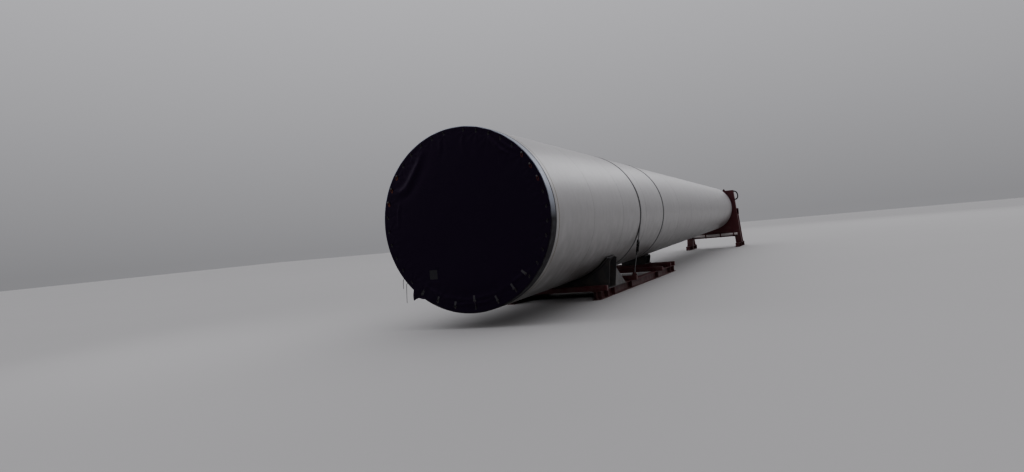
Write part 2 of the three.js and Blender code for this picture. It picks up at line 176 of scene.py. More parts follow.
# Routes of the two free tie cord ends: across, out from the wide face along the tower, up from the axis
CORDS = {
    "long": (
        (-1.6293, 0.015, -1.3241), (-1.6405, 0.015, -1.3324), (-1.651, 0.015, -1.3432),
        (-1.6593, 0.0145, -1.357), (-1.664, 0.014, -1.375), (-1.6665, 0.0135, -1.398),
        (-1.6685, 0.013, -1.425), (-1.6705, 0.0125, -1.456),
        (-1.673, 0.012, -1.49), (-1.676, 0.012, -1.528), (-1.679, 0.012, -1.57), (-1.682, 0.012, -1.615),
        (-1.685, 0.012, -1.662), (-1.688, 0.012, -1.712), (-1.69, 0.012, -1.75), (-1.691, 0.012, -1.786),
    ),
    "short": (
        (-1.7078, 0.015, -1.2182), (-1.719, 0.015, -1.2265), (-1.7295, 0.015, -1.2373),
        (-1.738, 0.0145, -1.251),
        (-1.743, 0.014, -1.268), (-1.7455, 0.0135, -1.286), (-1.747, 0.013, -1.305), (-1.748, 0.0125, -1.324),
        (-1.749, 0.012, -1.343), (-1.75, 0.012, -1.362), (-1.7505, 0.012, -1.381), (-1.751, 0.012, -1.4),
        (-1.751, 0.012, -1.418), (-1.751, 0.012, -1.437), (-1.751, 0.012, -1.455),
    ),
}
CORD_DIAMETER = 0.012

# Covers. Places are (across, up) from the tower's axis; clock angles run as the wide end is looked at.
COVER_RADIUS = 2.085
CLOTH = 0.0025
HEM = 0.060
TIE_RADIUS = 1.995
TIE_CLOCKS = (
    [5.2 + 9.06 * i for i in range(14)] + [238.7 + 9.35 * i for i in range(13)]
    + [133.2, 146.0, 160.6, 177.1, 192.2, 205.6, 217.9, 228.3]
)
# Each webbing tab: its clock angle and its middle's share of the rim's radius
TABS = (
    (133.2, 0.871), (146.0, 0.886), (160.6, 0.902), (177.1, 0.838),
    (192.2, 0.911), (205.6, 0.916), (217.9, 0.937),
)
BRIGHT_TIES = ((50.0, 69.0), (285.0, 305.0))
SLACK_EDGE = (198.0, 215.0)
# The document pocket: its left, right, top and bottom edges
POCKET = (-1.018, -0.773, -1.011, -1.302)
# Each fold: its line, its height and its half width
FOLDS = (
    ([(-0.92, 1.66), (-1.02, 1.42), (-1.15, 1.22), (-1.29, 1.02), (-1.42, 0.87), (-1.60, 0.77),
      (-1.84, 0.77)], 0.034, 0.066),
    ([(-1.24, 0.98), (-1.32, 0.86), (-1.44, 0.76), (-1.60, 0.70)], 0.014, 0.032),
    ([(0.74, 1.86), (0.88, 1.64), (1.03, 1.46), (1.26, 1.32)], 0.022, 0.040),
    ([(0.92, 1.82), (1.08, 1.62), (1.24, 1.48), (1.44, 1.38)], 0.016, 0.032),
    ([(-1.60, 0.60), (-1.68, 0.342), (-1.725, -0.075)], 0.010, 0.030),
    ([(-1.16, -1.37), (-0.95, -1.345), (-0.62, -1.40)], 0.010, 0.030),
    ([(-1.22, -1.42), (-0.75, -1.70), (-0.05, -1.80), (0.62, -1.69), (1.12, -1.42)], 0.012, 0.050),
    ([(-0.92, -1.72), (-0.35, -1.885), (0.32, -1.87), (0.86, -1.70)], 0.010, 0.036),
    ([(-1.62, -1.12), (-1.30, -1.30), (-0.95, -1.55), (-0.55, -1.72)], 0.009, 0.040),
    ([(1.55, -1.20), (1.28, -1.32), (0.95, -1.52)], 0.010, 0.040),
    ([(0.2, 2.02), (0.12, 1.72), (0.22, 1.45)], 0.006, 0.040),
    ([(-0.45, 1.98), (-0.42, 1.70), (-0.50, 1.48)], 0.006, 0.040),
)
# Where the cloth is drawn in between the long upper left fold and the rim
HOLLOW_CENTRE = (-1.52, 1.22)
HOLLOW_REACH = 0.24
HOLLOW_DEPTH = 0.007
# The loose corner's lower edge, and the two clock angles that it hangs between
LOOSE_EDGE = (
    (-1.462, -1.480), (-1.476, -1.570), (-1.486, -1.665), (-1.488, -1.737), (-1.440, -1.716),
    (-1.395, -1.696), (-1.350, -1.690), (-1.300, -1.700), (-1.240, -1.714), (-1.199, -1.717),
)
LOOSE_CLOCKS = (224.65, 214.9)
FAR_COVER_RADIUS = 1.144
FAR_COVER_TIES = 25
FAR_TIE_INSET = 0.030
# The net of depths by which small pieces are set on the cloth
NET_CELL = 0.01
NET_REACH = COVER_RADIUS + 0.06
NET_COUNT = int(2 * NET_REACH / NET_CELL) + 2


def radius_at(y_local):
    return NEAR_RADIUS - (NEAR_RADIUS - FAR_RADIUS) * y_local / LENGTH


def front_half_width(z):
    return FRAME_HALF_AT_FLOOR + (FRAME_HALF_AT_TOP - FRAME_HALF_AT_FLOOR) * z / FRAME_TOP


def place(x, y_local, up):
    """A point given across, along and above the tower's axis, in the row frame."""
    return Vector((x, NEAR_Y + y_local, AXIS_Z + up))


def clock(degrees, radius):
    """Across and up for a clock angle as the wide end is looked at."""
    angle = math.radians(degrees)
    return radius * math.sin(angle), radius * math.cos(angle)


def add_node(tree, kind, inputs, **settings):
    """A shader node; each input is a value or another node's output."""
    made = tree.nodes.new(kind)
    for key, value in settings.items():
        setattr(made, key, value)
    for key, value in inputs.items():
        if isinstance(value, bpy.types.NodeSocket):
            tree.links.new(value, made.inputs[key])
        else:
            made.inputs[key].default_value = value
    return made


class Look:
    """A procedural material on one Principled shader, in object space, and the slot that it fills."""

    def __init__(self, name, colour, roughness, sockets=None, slot=None):
        self.slot = slot or name
        self.material = bpy.data.materials.new(name)
        self.material.use_nodes = True
        self.tree = self.material.node_tree
        self.shader = self.tree.nodes["Principled BSDF"].inputs
        self.colour = (*colour, 1)
        self.bump = None
        for key, value in {"Base Color": self.colour, "Roughness": roughness, **(sockets or {})}.items():
            self.shader[key].default_value = value
        self.where = add_node(self.tree, "ShaderNodeTexCoord", {}).outputs["Object"]

    def scaled(self, scale):
        inputs = {"Vector": self.where, "Scale": scale}
        return add_node(self.tree, "ShaderNodeMapping", inputs).outputs["Vector"]

    def noise(self, scale, detail, stretch=(1, 1, 1), distortion=0.0):
        inputs = {"Vector": self.scaled(stretch), "Scale": scale, "Detail": detail, "Distortion": distortion}
        return add_node(self.tree, "ShaderNodeTexNoise", inputs).outputs["Fac"]

    def wave(self, scale, direction):
        inputs = {"Vector": self.where, "Scale": scale, "Detail": 1.0}
        return add_node(self.tree, "ShaderNodeTexWave", inputs, bands_direction=direction).outputs["Fac"]

    def part(self, axis):
        return add_node(self.tree, "ShaderNodeSeparateXYZ", {"Vector": self.where}).outputs[axis]

    def math(self, operation, a, b):
        return add_node(self.tree, "ShaderNodeMath", {0: a, 1: b}, operation=operation).outputs[0]

    def spread(self, value, low, high, to_low=0.0, to_high=1.0):
        inputs = {"Value": value, "From Min": low, "From Max": high, "To Min": to_low, "To Max": to_high}
        return add_node(self.tree, "ShaderNodeMapRange", inputs).outputs["Result"]

    def paint(self, amount, colour):
        """Lays a colour over what is there, by an amount from 0 to 1."""
        inputs = {0: amount, 6: self.colour, 7: (*colour, 1)}
        self.colour = add_node(self.tree, "ShaderNodeMix", inputs, data_type="RGBA").outputs[2]
        self.tree.links.new(self.colour, self.shader["Base Color"])

    def stain(self, scale, detail, low, high, amount, colour, **texture):
        """Patches of another colour where the noise lies past low, at full amount from high."""
        self.paint(self.spread(self.noise(scale, detail, **texture), low, high, 0, amount), colour)

    def drive(self, socket, value, low, high):
        """Takes a shader socket from low to high as the value goes from 0 to 1."""
        self.tree.links.new(self.spread(value, 0, 1, low, high), self.shader[socket])

    def gloss(self, scale, detail, low, high):
        self.drive("Roughness", self.noise(scale, detail), low, high)

    def relief(self, height, depth, strength):
        inputs = {"Height": height, "Distance": depth, "Strength": strength}
        if self.bump:
            inputs["Normal"] = self.bump
        self.bump = add_node(self.tree, "ShaderNodeBump", inputs).outputs["Normal"]
        self.tree.links.new(self.bump, self.shader["Normal"])

    def grain(self, scale, detail, depth, strength, **texture):
        self.relief(self.noise(scale, detail, **texture), depth, strength)


def shade(colour, share):
    return tuple(share * c for c in colour)


def shell_paint():
    """Pale topcoat with rain streaks that run down round the tube, and painted shade on its lower half."""
    look = Look("shell_paint", (0.42, 0.411, 0.409), 0.4, {"Coat Weight": 0.42, "Coat Roughness": 0.28})
    look.stain(1.0, 4, 0.42, 0.7, 0.3, (0.345, 0.335, 0.328), stretch=(0.25, 9.0, 0.25))
    look.stain(0.4, 4, 0.5, 0.75, 0.28, (0.475, 0.465, 0.462))
    look.stain(14.0, 5, 0.56, 0.8, 0.3, (0.29, 0.272, 0.25))
    # Painted shade: a dark colour that grows, in patches, from above the axis down to near the bottom of the
    # tube, standing for shade on its lower half.
    film = look.spread(look.part("Z"), AXIS_Z + 0.7, AXIS_Z - 1.7, 0, 0.88)
    film = look.math("MULTIPLY", film, look.spread(look.noise(2.0, 6, (1, 1.6, 1)), 0.25, 0.6, 0.6, 1))
    look.paint(film, (0.085, 0.078, 0.073))
    look.gloss(5.0, 5, 0.3, 0.5)
    look.grain(0.9, 2, 0.02, 0.35, stretch=(1, 0.6, 1))
    look.grain(420.0, 2, 0.0004, 0.5)
    return look


def flange_metal():
    """Sprayed zinc, bright above the axis, with painted shade from the axis down: dark, dull and not metallic
    there, standing for the dark ground that the metal reflects.
    """
    look = Look("flange_zinc", (0.38, 0.405, 0.46), 0.27, {"Metallic": 0.9})
    look.stain(2.2, 5, 0.45, 0.7, 0.35, (0.30, 0.315, 0.36))
    look.stain(26.0, 4, 0.6, 0.8, 0.5, (0.21, 0.21, 0.225))
    # Painted shade: below the axis the colour, roughness and metalness change so the lower rim reads as if it
    # reflected dark ground.
    film = look.spread(look.part("Z"), AXIS_Z + 0.25, AXIS_Z - 0.15, 0, 0.99)
    film = look.math("MULTIPLY", film, look.spread(look.noise(7.0, 5), 0.3, 0.55, 0.92, 1))
    look.paint(film, (0.02, 0.017, 0.019))
    look.drive("Roughness", look.math("MAXIMUM", film, look.noise(9.0, 4, (1, 12, 1))), 0.08, 0.85)
    look.drive("Metallic", film, 0.9, 0.0)
    look.grain(60.0, 2, 0.0006, 0.4, stretch=(0.2, 14, 0.2))
    return look


def tarpaulin():
    """Near black coated cloth with a violet cast, a fine weave and pale dust in patches."""
    sockets = {"Specular IOR Level": 0.24, "Specular Tint": (0.85, 0.62, 1, 1)}
    look = Look("tarpaulin", (0.0055, 0.0022, 0.0100), 0.46, sockets)
    look.stain(0.8, 5, 0.45, 0.72, 0.6, (0.006, 0.004, 0.0105))
    look.stain(11.0, 5, 0.6, 0.8, 0.3, (0.015, 0.012, 0.017))
    look.gloss(3.0, 5, 0.38, 0.56)
    look.grain(6.0, 4, 0.006, 0.25)
    look.relief(look.math("ADD", look.wave(240.0, "X"), look.wave(240.0, "Z")), 0.0004, 0.35)
    return look


def webbing_look():
    look = Look("webbing", (0.028, 0.027, 0.031), 0.82, {"Sheen Weight": 0.2})
    look.stain(18.0, 4, 0.5, 0.75, 0.6, (0.07, 0.064, 0.058))
    look.relief(look.wave(110.0, "Y"), 0.0012, 0.7)
    look.grain(160.0, 2, 0.001, 0.5)
    return look


def frame_paint(name, colour, dust, rust, slot=None):
    """Hard-worn enamel: chips down to brown steel, and road dust that thickens towards the floor."""
    look = Look(name, colour, 0.46, {"Specular IOR Level": 0.45}, slot)
    look.stain(1.5, 5, 0.45, 0.7, 0.5, shade(colour, 0.6))
    chips = look.spread(look.noise(9.0, 8, distortion=0.4), 0.64, 0.69)
    look.paint(look.math("MULTIPLY", chips, 0.8), rust)
    height = look.spread(look.part("Z"), 1.6, 0.0, 0.08, 0.6)
    look.paint(look.math("MULTIPLY", height, look.spread(look.noise(4.0, 7), 0.38, 0.7)), dust)
    look.gloss(6.0, 5, 0.36, 0.66)
    look.relief(look.math("MULTIPLY", chips, -1.0), 0.0012, 0.6)
    look.grain(180.0, 2, 0.0006, 0.4)
    return look


def galvanised_look(name, colour, metallic):
    """Zinc with its crystal pattern and dull stains."""
    look = Look(name, colour, 0.42, {"Metallic": metallic}, "galvanised_tube")
    inputs = {"Vector": look.scaled((1, 1, 1)), "Scale": 22.0}
    crystals = add_node(look.tree, "ShaderNodeTexVoronoi", inputs).outputs["Distance"]
    look.paint(look.spread(crystals, 0.2, 0.6, 0, 0.4), shade(colour, 0.75))
    look.stain(8.0, 6, 0.55, 0.75, 0.5, shade(colour, 0.42))
    look.gloss(12.0, 4, 0.3, 0.55)
    look.grain(140.0, 2, 0.0005, 0.4)
    return look


def elastic_look():
    """Red cord that turns orange towards the left side."""
    look = Look("elastic_cord", (0.11, 0.014, 0.010), 0.7, slot="tie_cord")
    look.paint(look.spread(look.part("X"), -0.4, 0.4, 1, 0), (0.17, 0.04, 0.012))
    look.stain(60.0, 3, 0.45, 0.7, 0.5, (0.08, 0.02, 0.015))
    look.grain(400.0, 2, 0.0006, 0.6)
    return look


def plain_look(name, colour, roughness, stain, grain, gloss=None, sockets=None, slot=None):
    """A look with one kind of stain and grain, given as the methods of those names take them."""
    look = Look(name, colour, roughness, sockets, slot)
    look.stain(*stain)
    if gloss:
        look.gloss(*gloss)
    look.grain(*grain)
    return look


def line_look(name, colour, roughness, slot):
    """One colour, for narrow lines and small parts."""
    stain = (30.0, 4, 0.4, 0.7, 0.4, shade(colour, 0.5))
    return plain_look(name, colour, roughness, stain, (200.0, 2, 0.001, 0.5), slot=slot)


SHELL = shell_paint()
ZINC = flange_metal()
TARP = tarpaulin()
WEBBING = webbing_look()
RED = frame_paint("red_frame_paint", (0.088, 0.016, 0.022), (0.12, 0.1, 0.085), (0.05, 0.026, 0.016))
DARK = frame_paint("cradle_paint", (0.052, 0.051, 0.054), (0.14, 0.12, 0.1), (0.07, 0.036, 0.022))
# Painted light: a lighter copy of the cradle paint for the gussets, standing for the light that falls on them.
LIT_GUSSET_PAINT = frame_paint(
    "gusset_paint_lit", (0.12, 0.12, 0.125), (0.16, 0.14, 0.12), (0.08, 0.05, 0.035), "cradle_paint",
)
# The hinge tube's pale zinc: partly the zinc's own colour, partly painted light that stands for the sky light
# falling on it.
LIT_GALVANISED = galvanised_look("galvanised_tube", (0.55, 0.51, 0.50), 0.35)
OLD_ZINC = galvanised_look("old_galvanised_tube", (0.05, 0.046, 0.05), 0.3)
ELASTIC = elastic_look()
RUBBER = plain_look(
    "pad_rubber", (0.014, 0.0135, 0.013), 0.85, (7.0, 6, 0.45, 0.7, 0.5, (0.06, 0.052, 0.045)),
    (90.0, 4, 0.002, 0.6),
)
RATCHET = plain_look(
    "ratchet_steel", (0.02, 0.02, 0.022), 0.42, (24.0, 6, 0.6, 0.68, 0.8, (0.25, 0.24, 0.23)),
    (120.0, 3, 0.0008, 0.5), (16.0, 4, 0.3, 0.6), {"Metallic": 0.6},
)
FILM = plain_look(
    "pocket_film", (0.006, 0.005, 0.009), 0.34, (30.0, 4, 0.4, 0.75, 0.5, (0.011, 0.01, 0.015)),
    (40.0, 3, 0.002, 0.4), sockets={"Coat Weight": 0.12, "Coat Roughness": 0.2},
)
FLOOR = plain_look(
    "studio_floor", (0.46, 0.455, 0.45), 0.75, (0.15, 4, 0.4, 0.7, 0.15, (0.42, 0.415, 0.41)),
    (3.0, 4, 0.003, 0.2),
)
DARK_LINE = line_look("joint_line", (0.035, 0.034, 0.036), 0.6, "flange_zinc")
YELLOW_LINE = line_look("edge_line", (0.2, 0.17, 0.09), 0.5, "shell_paint")
STITCH = line_look("stitch_thread", (0.12, 0.115, 0.11), 0.8, "webbing")
EYELET = line_look("eyelet_metal", (0.028, 0.026, 0.03), 0.45, "tarpaulin")
KNOB = line_look("knob_plastic", (0.08, 0.074, 0.073), 0.5, "tie_cord")
PALE_WEBBING = line_look("pale_webbing", (0.05, 0.048, 0.054), 0.8, "webbing")


def add_piece(name, mesh, look, replaces=None, smooth=35):
    """Puts a mesh in the scene as a piece of the object, smooth up to an angle in degrees."""
    mesh.materials.clear()
    mesh.materials.append(look.material)
    mesh.shade_smooth()
    mesh.set_sharp_from_angle(angle=math.radians(smooth))
    piece = bpy.data.objects.new(name, mesh)
    bpy.context.scene.collection.objects.link(piece)
    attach(piece, BODY)
    if replaces:
        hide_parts(replaces)
    return piece


def from_points(name, points, faces, look, replaces=None, smooth=35):
    mesh = bpy.data.meshes.new(name)
    mesh.from_pydata([tuple(p) for p in points], [], faces)
    mesh.update()
    return add_piece(name, mesh, look, replaces, smooth)


def ring_faces(rings, count, closed):
    """Faces between rings of as many points each, joined in order, and the last to the first if closed."""
    faces = []
    for i in range(rings if closed else rings - 1):
        a = i * count
        b = (i + 1) % rings * count
        faces += [(a + j, a + (j + 1) % count, b + (j + 1) % count, b + j) for j in range(count)]
    return faces


def lathe(name, profile, look, replaces=None, smooth=35):
    """A closed profile of (radius, y_local), turned about the tower's axis."""
    turns = [2 * math.pi * i / ROUND for i in range(ROUND)]
    points = [place(r * math.sin(t), y_local, r * math.cos(t)) for t in turns for r, y_local in profile]
    from_points(name, points, ring_faces(ROUND, len(profile), True), look, replaces, smooth)


def neighbours(path, i, closed):
    """The points before and after one of a path."""
    last = len(path) - 1
    before = path[i - 1] if i or closed else path[0]
    after = path[(i + 1) % len(path)] if i < last or closed else path[last]
    return before, after


def axes(axis):
    """The unit vector along an axis, and two more square to it and to each other."""
    axis = Vector(axis).normalized()
    side = axis.orthogonal().normalized()
    return axis, side, axis.cross(side)


def circle(centre, side, other, radius, count, start=0.0):
    turns = [start + 2 * math.pi * i / count for i in range(count)]
    return [centre + (side * math.cos(t) + other * math.sin(t)) * radius for t in turns]


class Shapes:
    """Collects closed solids that make up one piece. Coordinates are the row frame's, in metres."""

    def __init__(self):
        self.mesh = bmesh.new()

    def solid(self, points, faces):
        verts = [self.mesh.verts.new(p) for p in points]
        for face in faces:
            self.mesh.faces.new([verts[i] for i in face])

    def loft(self, rings, closed=False):
        """Rings of as many points each, capped at both ends unless their row is closed."""
        count = len(rings[0])
        faces = ring_faces(len(rings), count, closed)
        if not closed:
            faces.append(tuple(reversed(range(count))))
            faces.append(tuple(range((len(rings) - 1) * count, len(rings) * count)))
        self.solid([p for ring in rings for p in ring], faces)

    def prism(self, outline, axis, start, end):
        """An outline of two coordinates, in XYZ order without the axis, carried from start to end."""
        at = "XYZ".index(axis)
        rings = []
        for along in (start, end):
            rings.append([Vector((*point[:at], along, *point[at:])) for point in outline])
        self.loft(rings)

    def box(self, low, high):
        outline = [(low[0], low[2]), (high[0], low[2]), (high[0], high[2]), (low[0], high[2])]
        self.prism(outline, "Y", low[1], high[1])

    def tube(self, path, radius, sides=12, closed=False):
        """A round bar that follows a row of points."""
        path = [Vector(p) for p in path]
        rings = []
        side = None
        for i, point in enumerate(path):
            before, after = neighbours(path, i, closed)
            direction = (after - before).normalized()
            if side is None:
                side = direction.orthogonal().normalized()
            side = (side - direction * side.dot(direction)).normalized()
            rings.append(circle(point, side, direction.cross(side), radius, sides))
        self.loft(rings, closed)

    def turned(self, profile, origin, axis, segments):
        """A profile of (radius, along), both ends on the axis or the whole a ring."""
        axis, side, other = axes(axis)
        spokes = circle(Vector(), side, other, 1, segments)
        origin = Vector(origin)
        self.loft([[origin + axis * a + spoke * r for r, a in profile] for spoke in spokes], closed=True)

    def bolt(self, seat, normal, across):
        """A hexagon head on its washer, seat at the face that it clamps."""
        normal, side, other = axes(normal)
        hole = 0.2 * across
        rim = 0.98 * across
        thick = 0.12 * across
        washer = [(hole, 0), (rim, 0), (rim, 0.8 * thick), (0.96 * rim, thick), (hole, thick)]
        self.turned(washer, seat, normal, 20)
        corner = across / math.sqrt(3)
        turn = rng.uniform(0, math.pi / 3)
        rings = []
        for height, radius in ((0.0, corner), (0.52 * across, corner), (0.6 * across, 0.86 * corner)):
            rings.append(circle(Vector(seat) + normal * (thick + height), side, other, radius, 6, turn))
        self.loft(rings)

    def weld(self, path, radius):
        """A rippled bead along a row of points."""
        fine = []
        for a, b in zip(path, path[1:]):
            steps = max(1, int((Vector(b) - Vector(a)).length / 0.03))
            fine += [Vector(a).lerp(Vector(b), i / steps) for i in range(steps)]
        fine.append(Vector(path[-1]))
        jitter = 0.12 * radius
        fine = [p + Vector([rng.uniform(-jitter, jitter) for _ in range(3)]) for p in fine]
        self.tube(fine, radius, 6)

    def piece(self, name, look, replaces=None, bevel=0.0, smooth=35, slot=None):
        bmesh.ops.recalc_face_normals(self.mesh, faces=self.mesh.faces)
        mesh = bpy.data.meshes.new(name)
        self.mesh.to_mesh(mesh)
        self.mesh.free()
        made = add_piece(name, mesh, look, replaces, smooth)
        if bevel:
            edges = made.modifiers.new("rounded edges", "BEVEL")
            edges.width = bevel
            edges.segments = 2
            edges.limit_method = "ANGLE"
            edges.angle_limit = math.radians(40)
        return made


def smooth_path(points, steps):
    """A Catmull-Rom curve through the points."""
    points = [Vector(p) for p in points]
    last = len(points) - 1
    path = []
    for i in range(last):
        p0 = points[max(i - 1, 0)]
        p1 = points[i]
        p2 = points[i + 1]
        p3 = points[min(i + 2, last)]
        for t in [j / steps for j in range(steps)]:
            path.append(0.5 * (
                2 * p1 + (p2 - p0) * t + (2 * p0 - 5 * p1 + 4 * p2 - p3) * t ** 2
                + (3 * p1 - p0 - 3 * p2 + p3) * t ** 3
            ))
    path.append(points[last])
    return path


def rounded_box(low_a, low_b, high_a, high_b, radius, steps=4):
    """A rectangle with round corners."""
    corners = (
        (high_a - radius, high_b - radius, 0), (low_a + radius, high_b - radius, 90),
        (low_a + radius, low_b + radius, 180), (high_a - radius, low_b + radius, 270),
    )
    points = []
    for a, b, start in corners:
        for i in range(steps + 1):
            turn = math.radians(start + 90 * i / steps)
            points.append((a + radius * math.cos(turn), b + radius * math.sin(turn)))
    return points


def holed_plate(shapes, y0, y1, rim, hole, rim_shows):
    """A flat plate between two rows of (across, up) points, with side faces where its rim shows."""
    n = len(rim)
    points = [place(x, y_local, up) for y_local in (y0, y1) for row in (rim, hole) for x, up in row]
    faces = []
    for i in range(n):
        k = (i + 1) % n
        faces.append((i, k, n + k, n + i))
        faces.append((2 * n + k, 2 * n + i, 3 * n + i, 3 * n + k))
        faces.append((n + i, n + k, 3 * n + k, 3 * n + i))
        if rim_shows[i]:
            faces.append((k, i, 2 * n + i, 2 * n + k))
    shapes.solid(points, faces)


def add_camera():
    data = bpy.data.cameras.new("camera")
    data.sensor_fit = "HORIZONTAL"
    data.sensor_width = 36.0
    data.lens = data.sensor_width * FOCAL_PIXELS / PHOTO_WIDTH
    data.clip_end = 500
    camera = bpy.data.objects.new("camera", data)
    bpy.context.scene.collection.objects.link(camera)
    backward = CAMERA_RIGHT.cross(CAMERA_UP).normalized()
    up = backward.cross(CAMERA_RIGHT).normalized()
    turn = Matrix((CAMERA_RIGHT.normalized(), up, backward)).transposed()
    camera.matrix_world = Matrix.Translation(place(*CAMERA_FROM_NEAR_CENTRE)) @ turn.to_4x4()
    bpy.context.scene.camera = camera


def add_lamp(name, location, target, size, power, colour, spread):
    data = bpy.data.lights.new(name, "AREA")
    data.spread = math.radians(spread)
    data.shape = "RECTANGLE"
    data.size, data.size_y = size
    data.energy = power
    data.color = colour
    lamp = bpy.data.objects.new(name, data)
    lamp.location = location
    lamp.rotation_euler = (Vector(target) - Vector(location)).to_track_quat("-Z", "Y").to_euler()
    bpy.context.scene.collection.objects.link(lamp)


def add_sky():
    """Soft light from all round that grows from the horizon to the zenith, and a little more from ahead."""
    world = bpy.data.worlds.new("studio")
    world.use_nodes = True
    tree = world.node_tree
    direction = add_node(tree, "ShaderNodeTexCoord", {}).outputs["Generated"]
    parts = add_node(tree, "ShaderNodeSeparateXYZ", {"Vector": direction}).outputs
    inputs = {"Value": parts["Z"], "To Min": SKY_AT_HORIZON, "To Max": SKY_AT_ZENITH}
    climb = add_node(tree, "ShaderNodeMapRange", inputs).outputs["Result"]
    inputs = {"Value": parts["Y"], "From Min": 0.1, "To Max": SKY_AHEAD}
    ahead = add_node(tree, "ShaderNodeMapRange", inputs, interpolation_type="SMOOTHSTEP").outputs["Result"]
    total = add_node(tree, "ShaderNodeMath", {0: climb, 1: ahead}).outputs["Value"]
    background = tree.nodes["Background"].inputs
    tree.links.new(total, background["Strength"])
    background["Color"].default_value = SKY_COLOUR
    bpy.context.scene.world = world


def add_studio():
    mesh = bpy.data.meshes.new("studio_floor")
    reach = FLOOR_REACH
    corners = [(-reach, -reach, 0), (reach, -reach, 0), (reach, reach, 0), (-reach, reach, 0)]
    mesh.from_pydata(corners, [], [(0, 1, 2, 3)])
    mesh.materials.append(FLOOR.material)
    floor = bpy.data.objects.new("studio_floor", mesh)
    bpy.context.scene.collection.objects.link(floor)
    add_sky()
    for name, values in LAMPS.items():
        add_lamp(name, *values)
    view = bpy.context.scene.view_settings
    view.view_transform = "AgX"
    view.look = "AgX - Medium High Contrast"
    view.exposure = EXPOSURE


def add_round_bead(name, y_local, half_width, height, look):
    """A low rounded band round the shell."""
    steps = 6
    profile = []
    for i in range(steps + 1):
        angle = math.pi * i / steps
        y_here = y_local - half_width * math.cos(angle)
        profile.append((radius_at(y_here) + height * math.sin(angle), y_here))
    sunk = radius_at(y_local) - 0.004
    profile += [(sunk, y_local + half_width), (sunk, y_local - half_width)]
    lathe(name, profile, look, smooth=60)


def add_shell():
    """Rolled courses with a weld bead at every joint."""
    length = (LENGTH - FAR_NECK - NEAR_NECK) / COURSE_COUNT
    for i in range(COURSE_COUNT):
        start = NEAR_NECK + i * length
        end = start + length
        profile = [(radius_at(start), start), (radius_at(end), end)]
        profile += [(radius - SHELL_THICKNESS, y_local) for radius, y_local in reversed(profile)]
        name = f"shell_course_{i + 1:02d}"
        lathe(name + "_skin", profile, SHELL, name)
        if i:
            add_round_bead(f"shell_weld_{i:02d}", start, 0.014, 0.0025, SHELL)


def add_flange(label, flange):
    """A forged ring with a welding neck."""
    face = flange["face"]
    towards = flange["towards"]
    neck = flange["neck"]
    ring = flange["ring"]
    rim = radius_at(face)
    neck_outer = radius_at(face + towards * neck)
    root = radius_at(face + towards * ring) - SHELL_THICKNESS
    chamfer = 0.004
    profile = [
        (rim - chamfer, 0), (rim, chamfer), (neck_outer, neck), (neck_outer - SHELL_THICKNESS, neck),
        (root, ring + 0.03), (root - 0.006, ring + 0.008), (root - 0.014, ring),
        (rim - LIP, ring), (rim - LIP, 0),
    ]
    profile = [(radius, face + towards * along) for radius, along in profile]
    lathe(f"{label}_flange_ring", profile[::towards], ZINC, f"{label}_flange")


def add_bored_ring(label, flange):
    """A flange's flat ring with a circle of bolt holes; each hole has its own sector."""
    face = flange["face"]
    pitch = flange["pitch"]
    y0, y1 = sorted((face, face + flange["towards"] * flange["ring"]))
    half_angle = math.pi / flange["count"]
    low = radius_at(face) - flange["inward"] - pitch
    high = radius_at(face) - LIP - pitch
    half = pitch * half_angle
    corners = [math.atan2(b, a) for a in (half, -half) for b in (low, high)]
    turns = sorted({round(t, 6) for t in corners + [2 * math.pi * i / 16 - math.pi for i in range(16)]})
    shapes = Shapes()
    for sector in range(flange["count"]):
        middle = 2 * half_angle * sector
        rim = []
        bore = []
        for turn in turns:
            a = math.cos(turn)
            b = math.sin(turn)
            reach = min(half / abs(a) if a else 9, (high if b > 0 else low) / b if b else 9)
            rim.append((middle + a * reach / pitch, pitch + b * reach))
            bore.append((middle + a * flange["hole"] / pitch, pitch + b * flange["hole"]))
        rim_shows = [abs(p[1] - q[1]) < 1e-6 for p, q in zip(rim, rim[1:] + rim[:1])]
        rows = [[(r * math.sin(t), r * math.cos(t)) for t, r in row] for row in (rim, bore)]
        holed_plate(shapes, y0, y1, *rows, rim_shows)
    shapes.piece(f"{label}_flange_bored_ring", ZINC, smooth=30)


def add_rim_lines():
    """The dark joint behind the wide flange and the thin yellowish line on the shell beyond it."""
    add_round_bead("near_joint_line", NEAR_NECK + 0.012, 0.026, 0.003, DARK_LINE)
    add_round_bead("near_edge_line", NEAR_NECK + 0.22, 0.012, 0.002, YELLOW_LINE)


def ribbon(shapes, path, y_local, width, thickness, closed=False):
    """Webbing that follows a row of (across, up) points; its width lies along the tower."""
    edge = width / 2
    section = [
        (-edge, 0.18), (-edge + 0.002, 0.5), (-width / 6, 0.46), (width / 6, 0.46), (edge - 0.002, 0.5),
        (edge, 0.18), (edge, -0.18), (edge - 0.002, -0.5), (-edge + 0.002, -0.5), (-edge, -0.18),
    ]
    rings = []
    for i, (x, up) in enumerate(path):
        before, after = neighbours(path, i, closed)
        run = Vector((after[0] - before[0], after[1] - before[1])).normalized() * thickness
        rings.append([place(x - run.y * b, y_local + a, up + run.x * b) for a, b in section])
    shapes.loft(rings, closed)


class Leg:
    """The line that one lashing follows from the shell down to its eye."""

    def __init__(self, station, side):
        self.station = station
        self.side = side
        reach = radius_at(station - BELT_WIDTH / 2) + 0.0013
        self.start = Vector((reach * math.cos(LEG_START), -reach * math.sin(LEG_START)))
        self.down = Vector((-math.sin(LEG_ANGLE), -math.cos(LEG_ANGLE)))
        self.out = Vector((math.cos(LEG_ANGLE), -math.sin(LEG_ANGLE)))
        self.pin = (self.start.y - (EYE_UP - AXIS_Z)) / math.cos(LEG_ANGLE)

    def flat(self, along, out=0.0):
        point = self.start + self.down * along + self.out * (0.004 + out)
        return self.side * point.x, point.y

    def point(self, along, out=0.0, across=0.0):
        x, up = self.flat(along, out)
        return place(x, self.station + across, up)


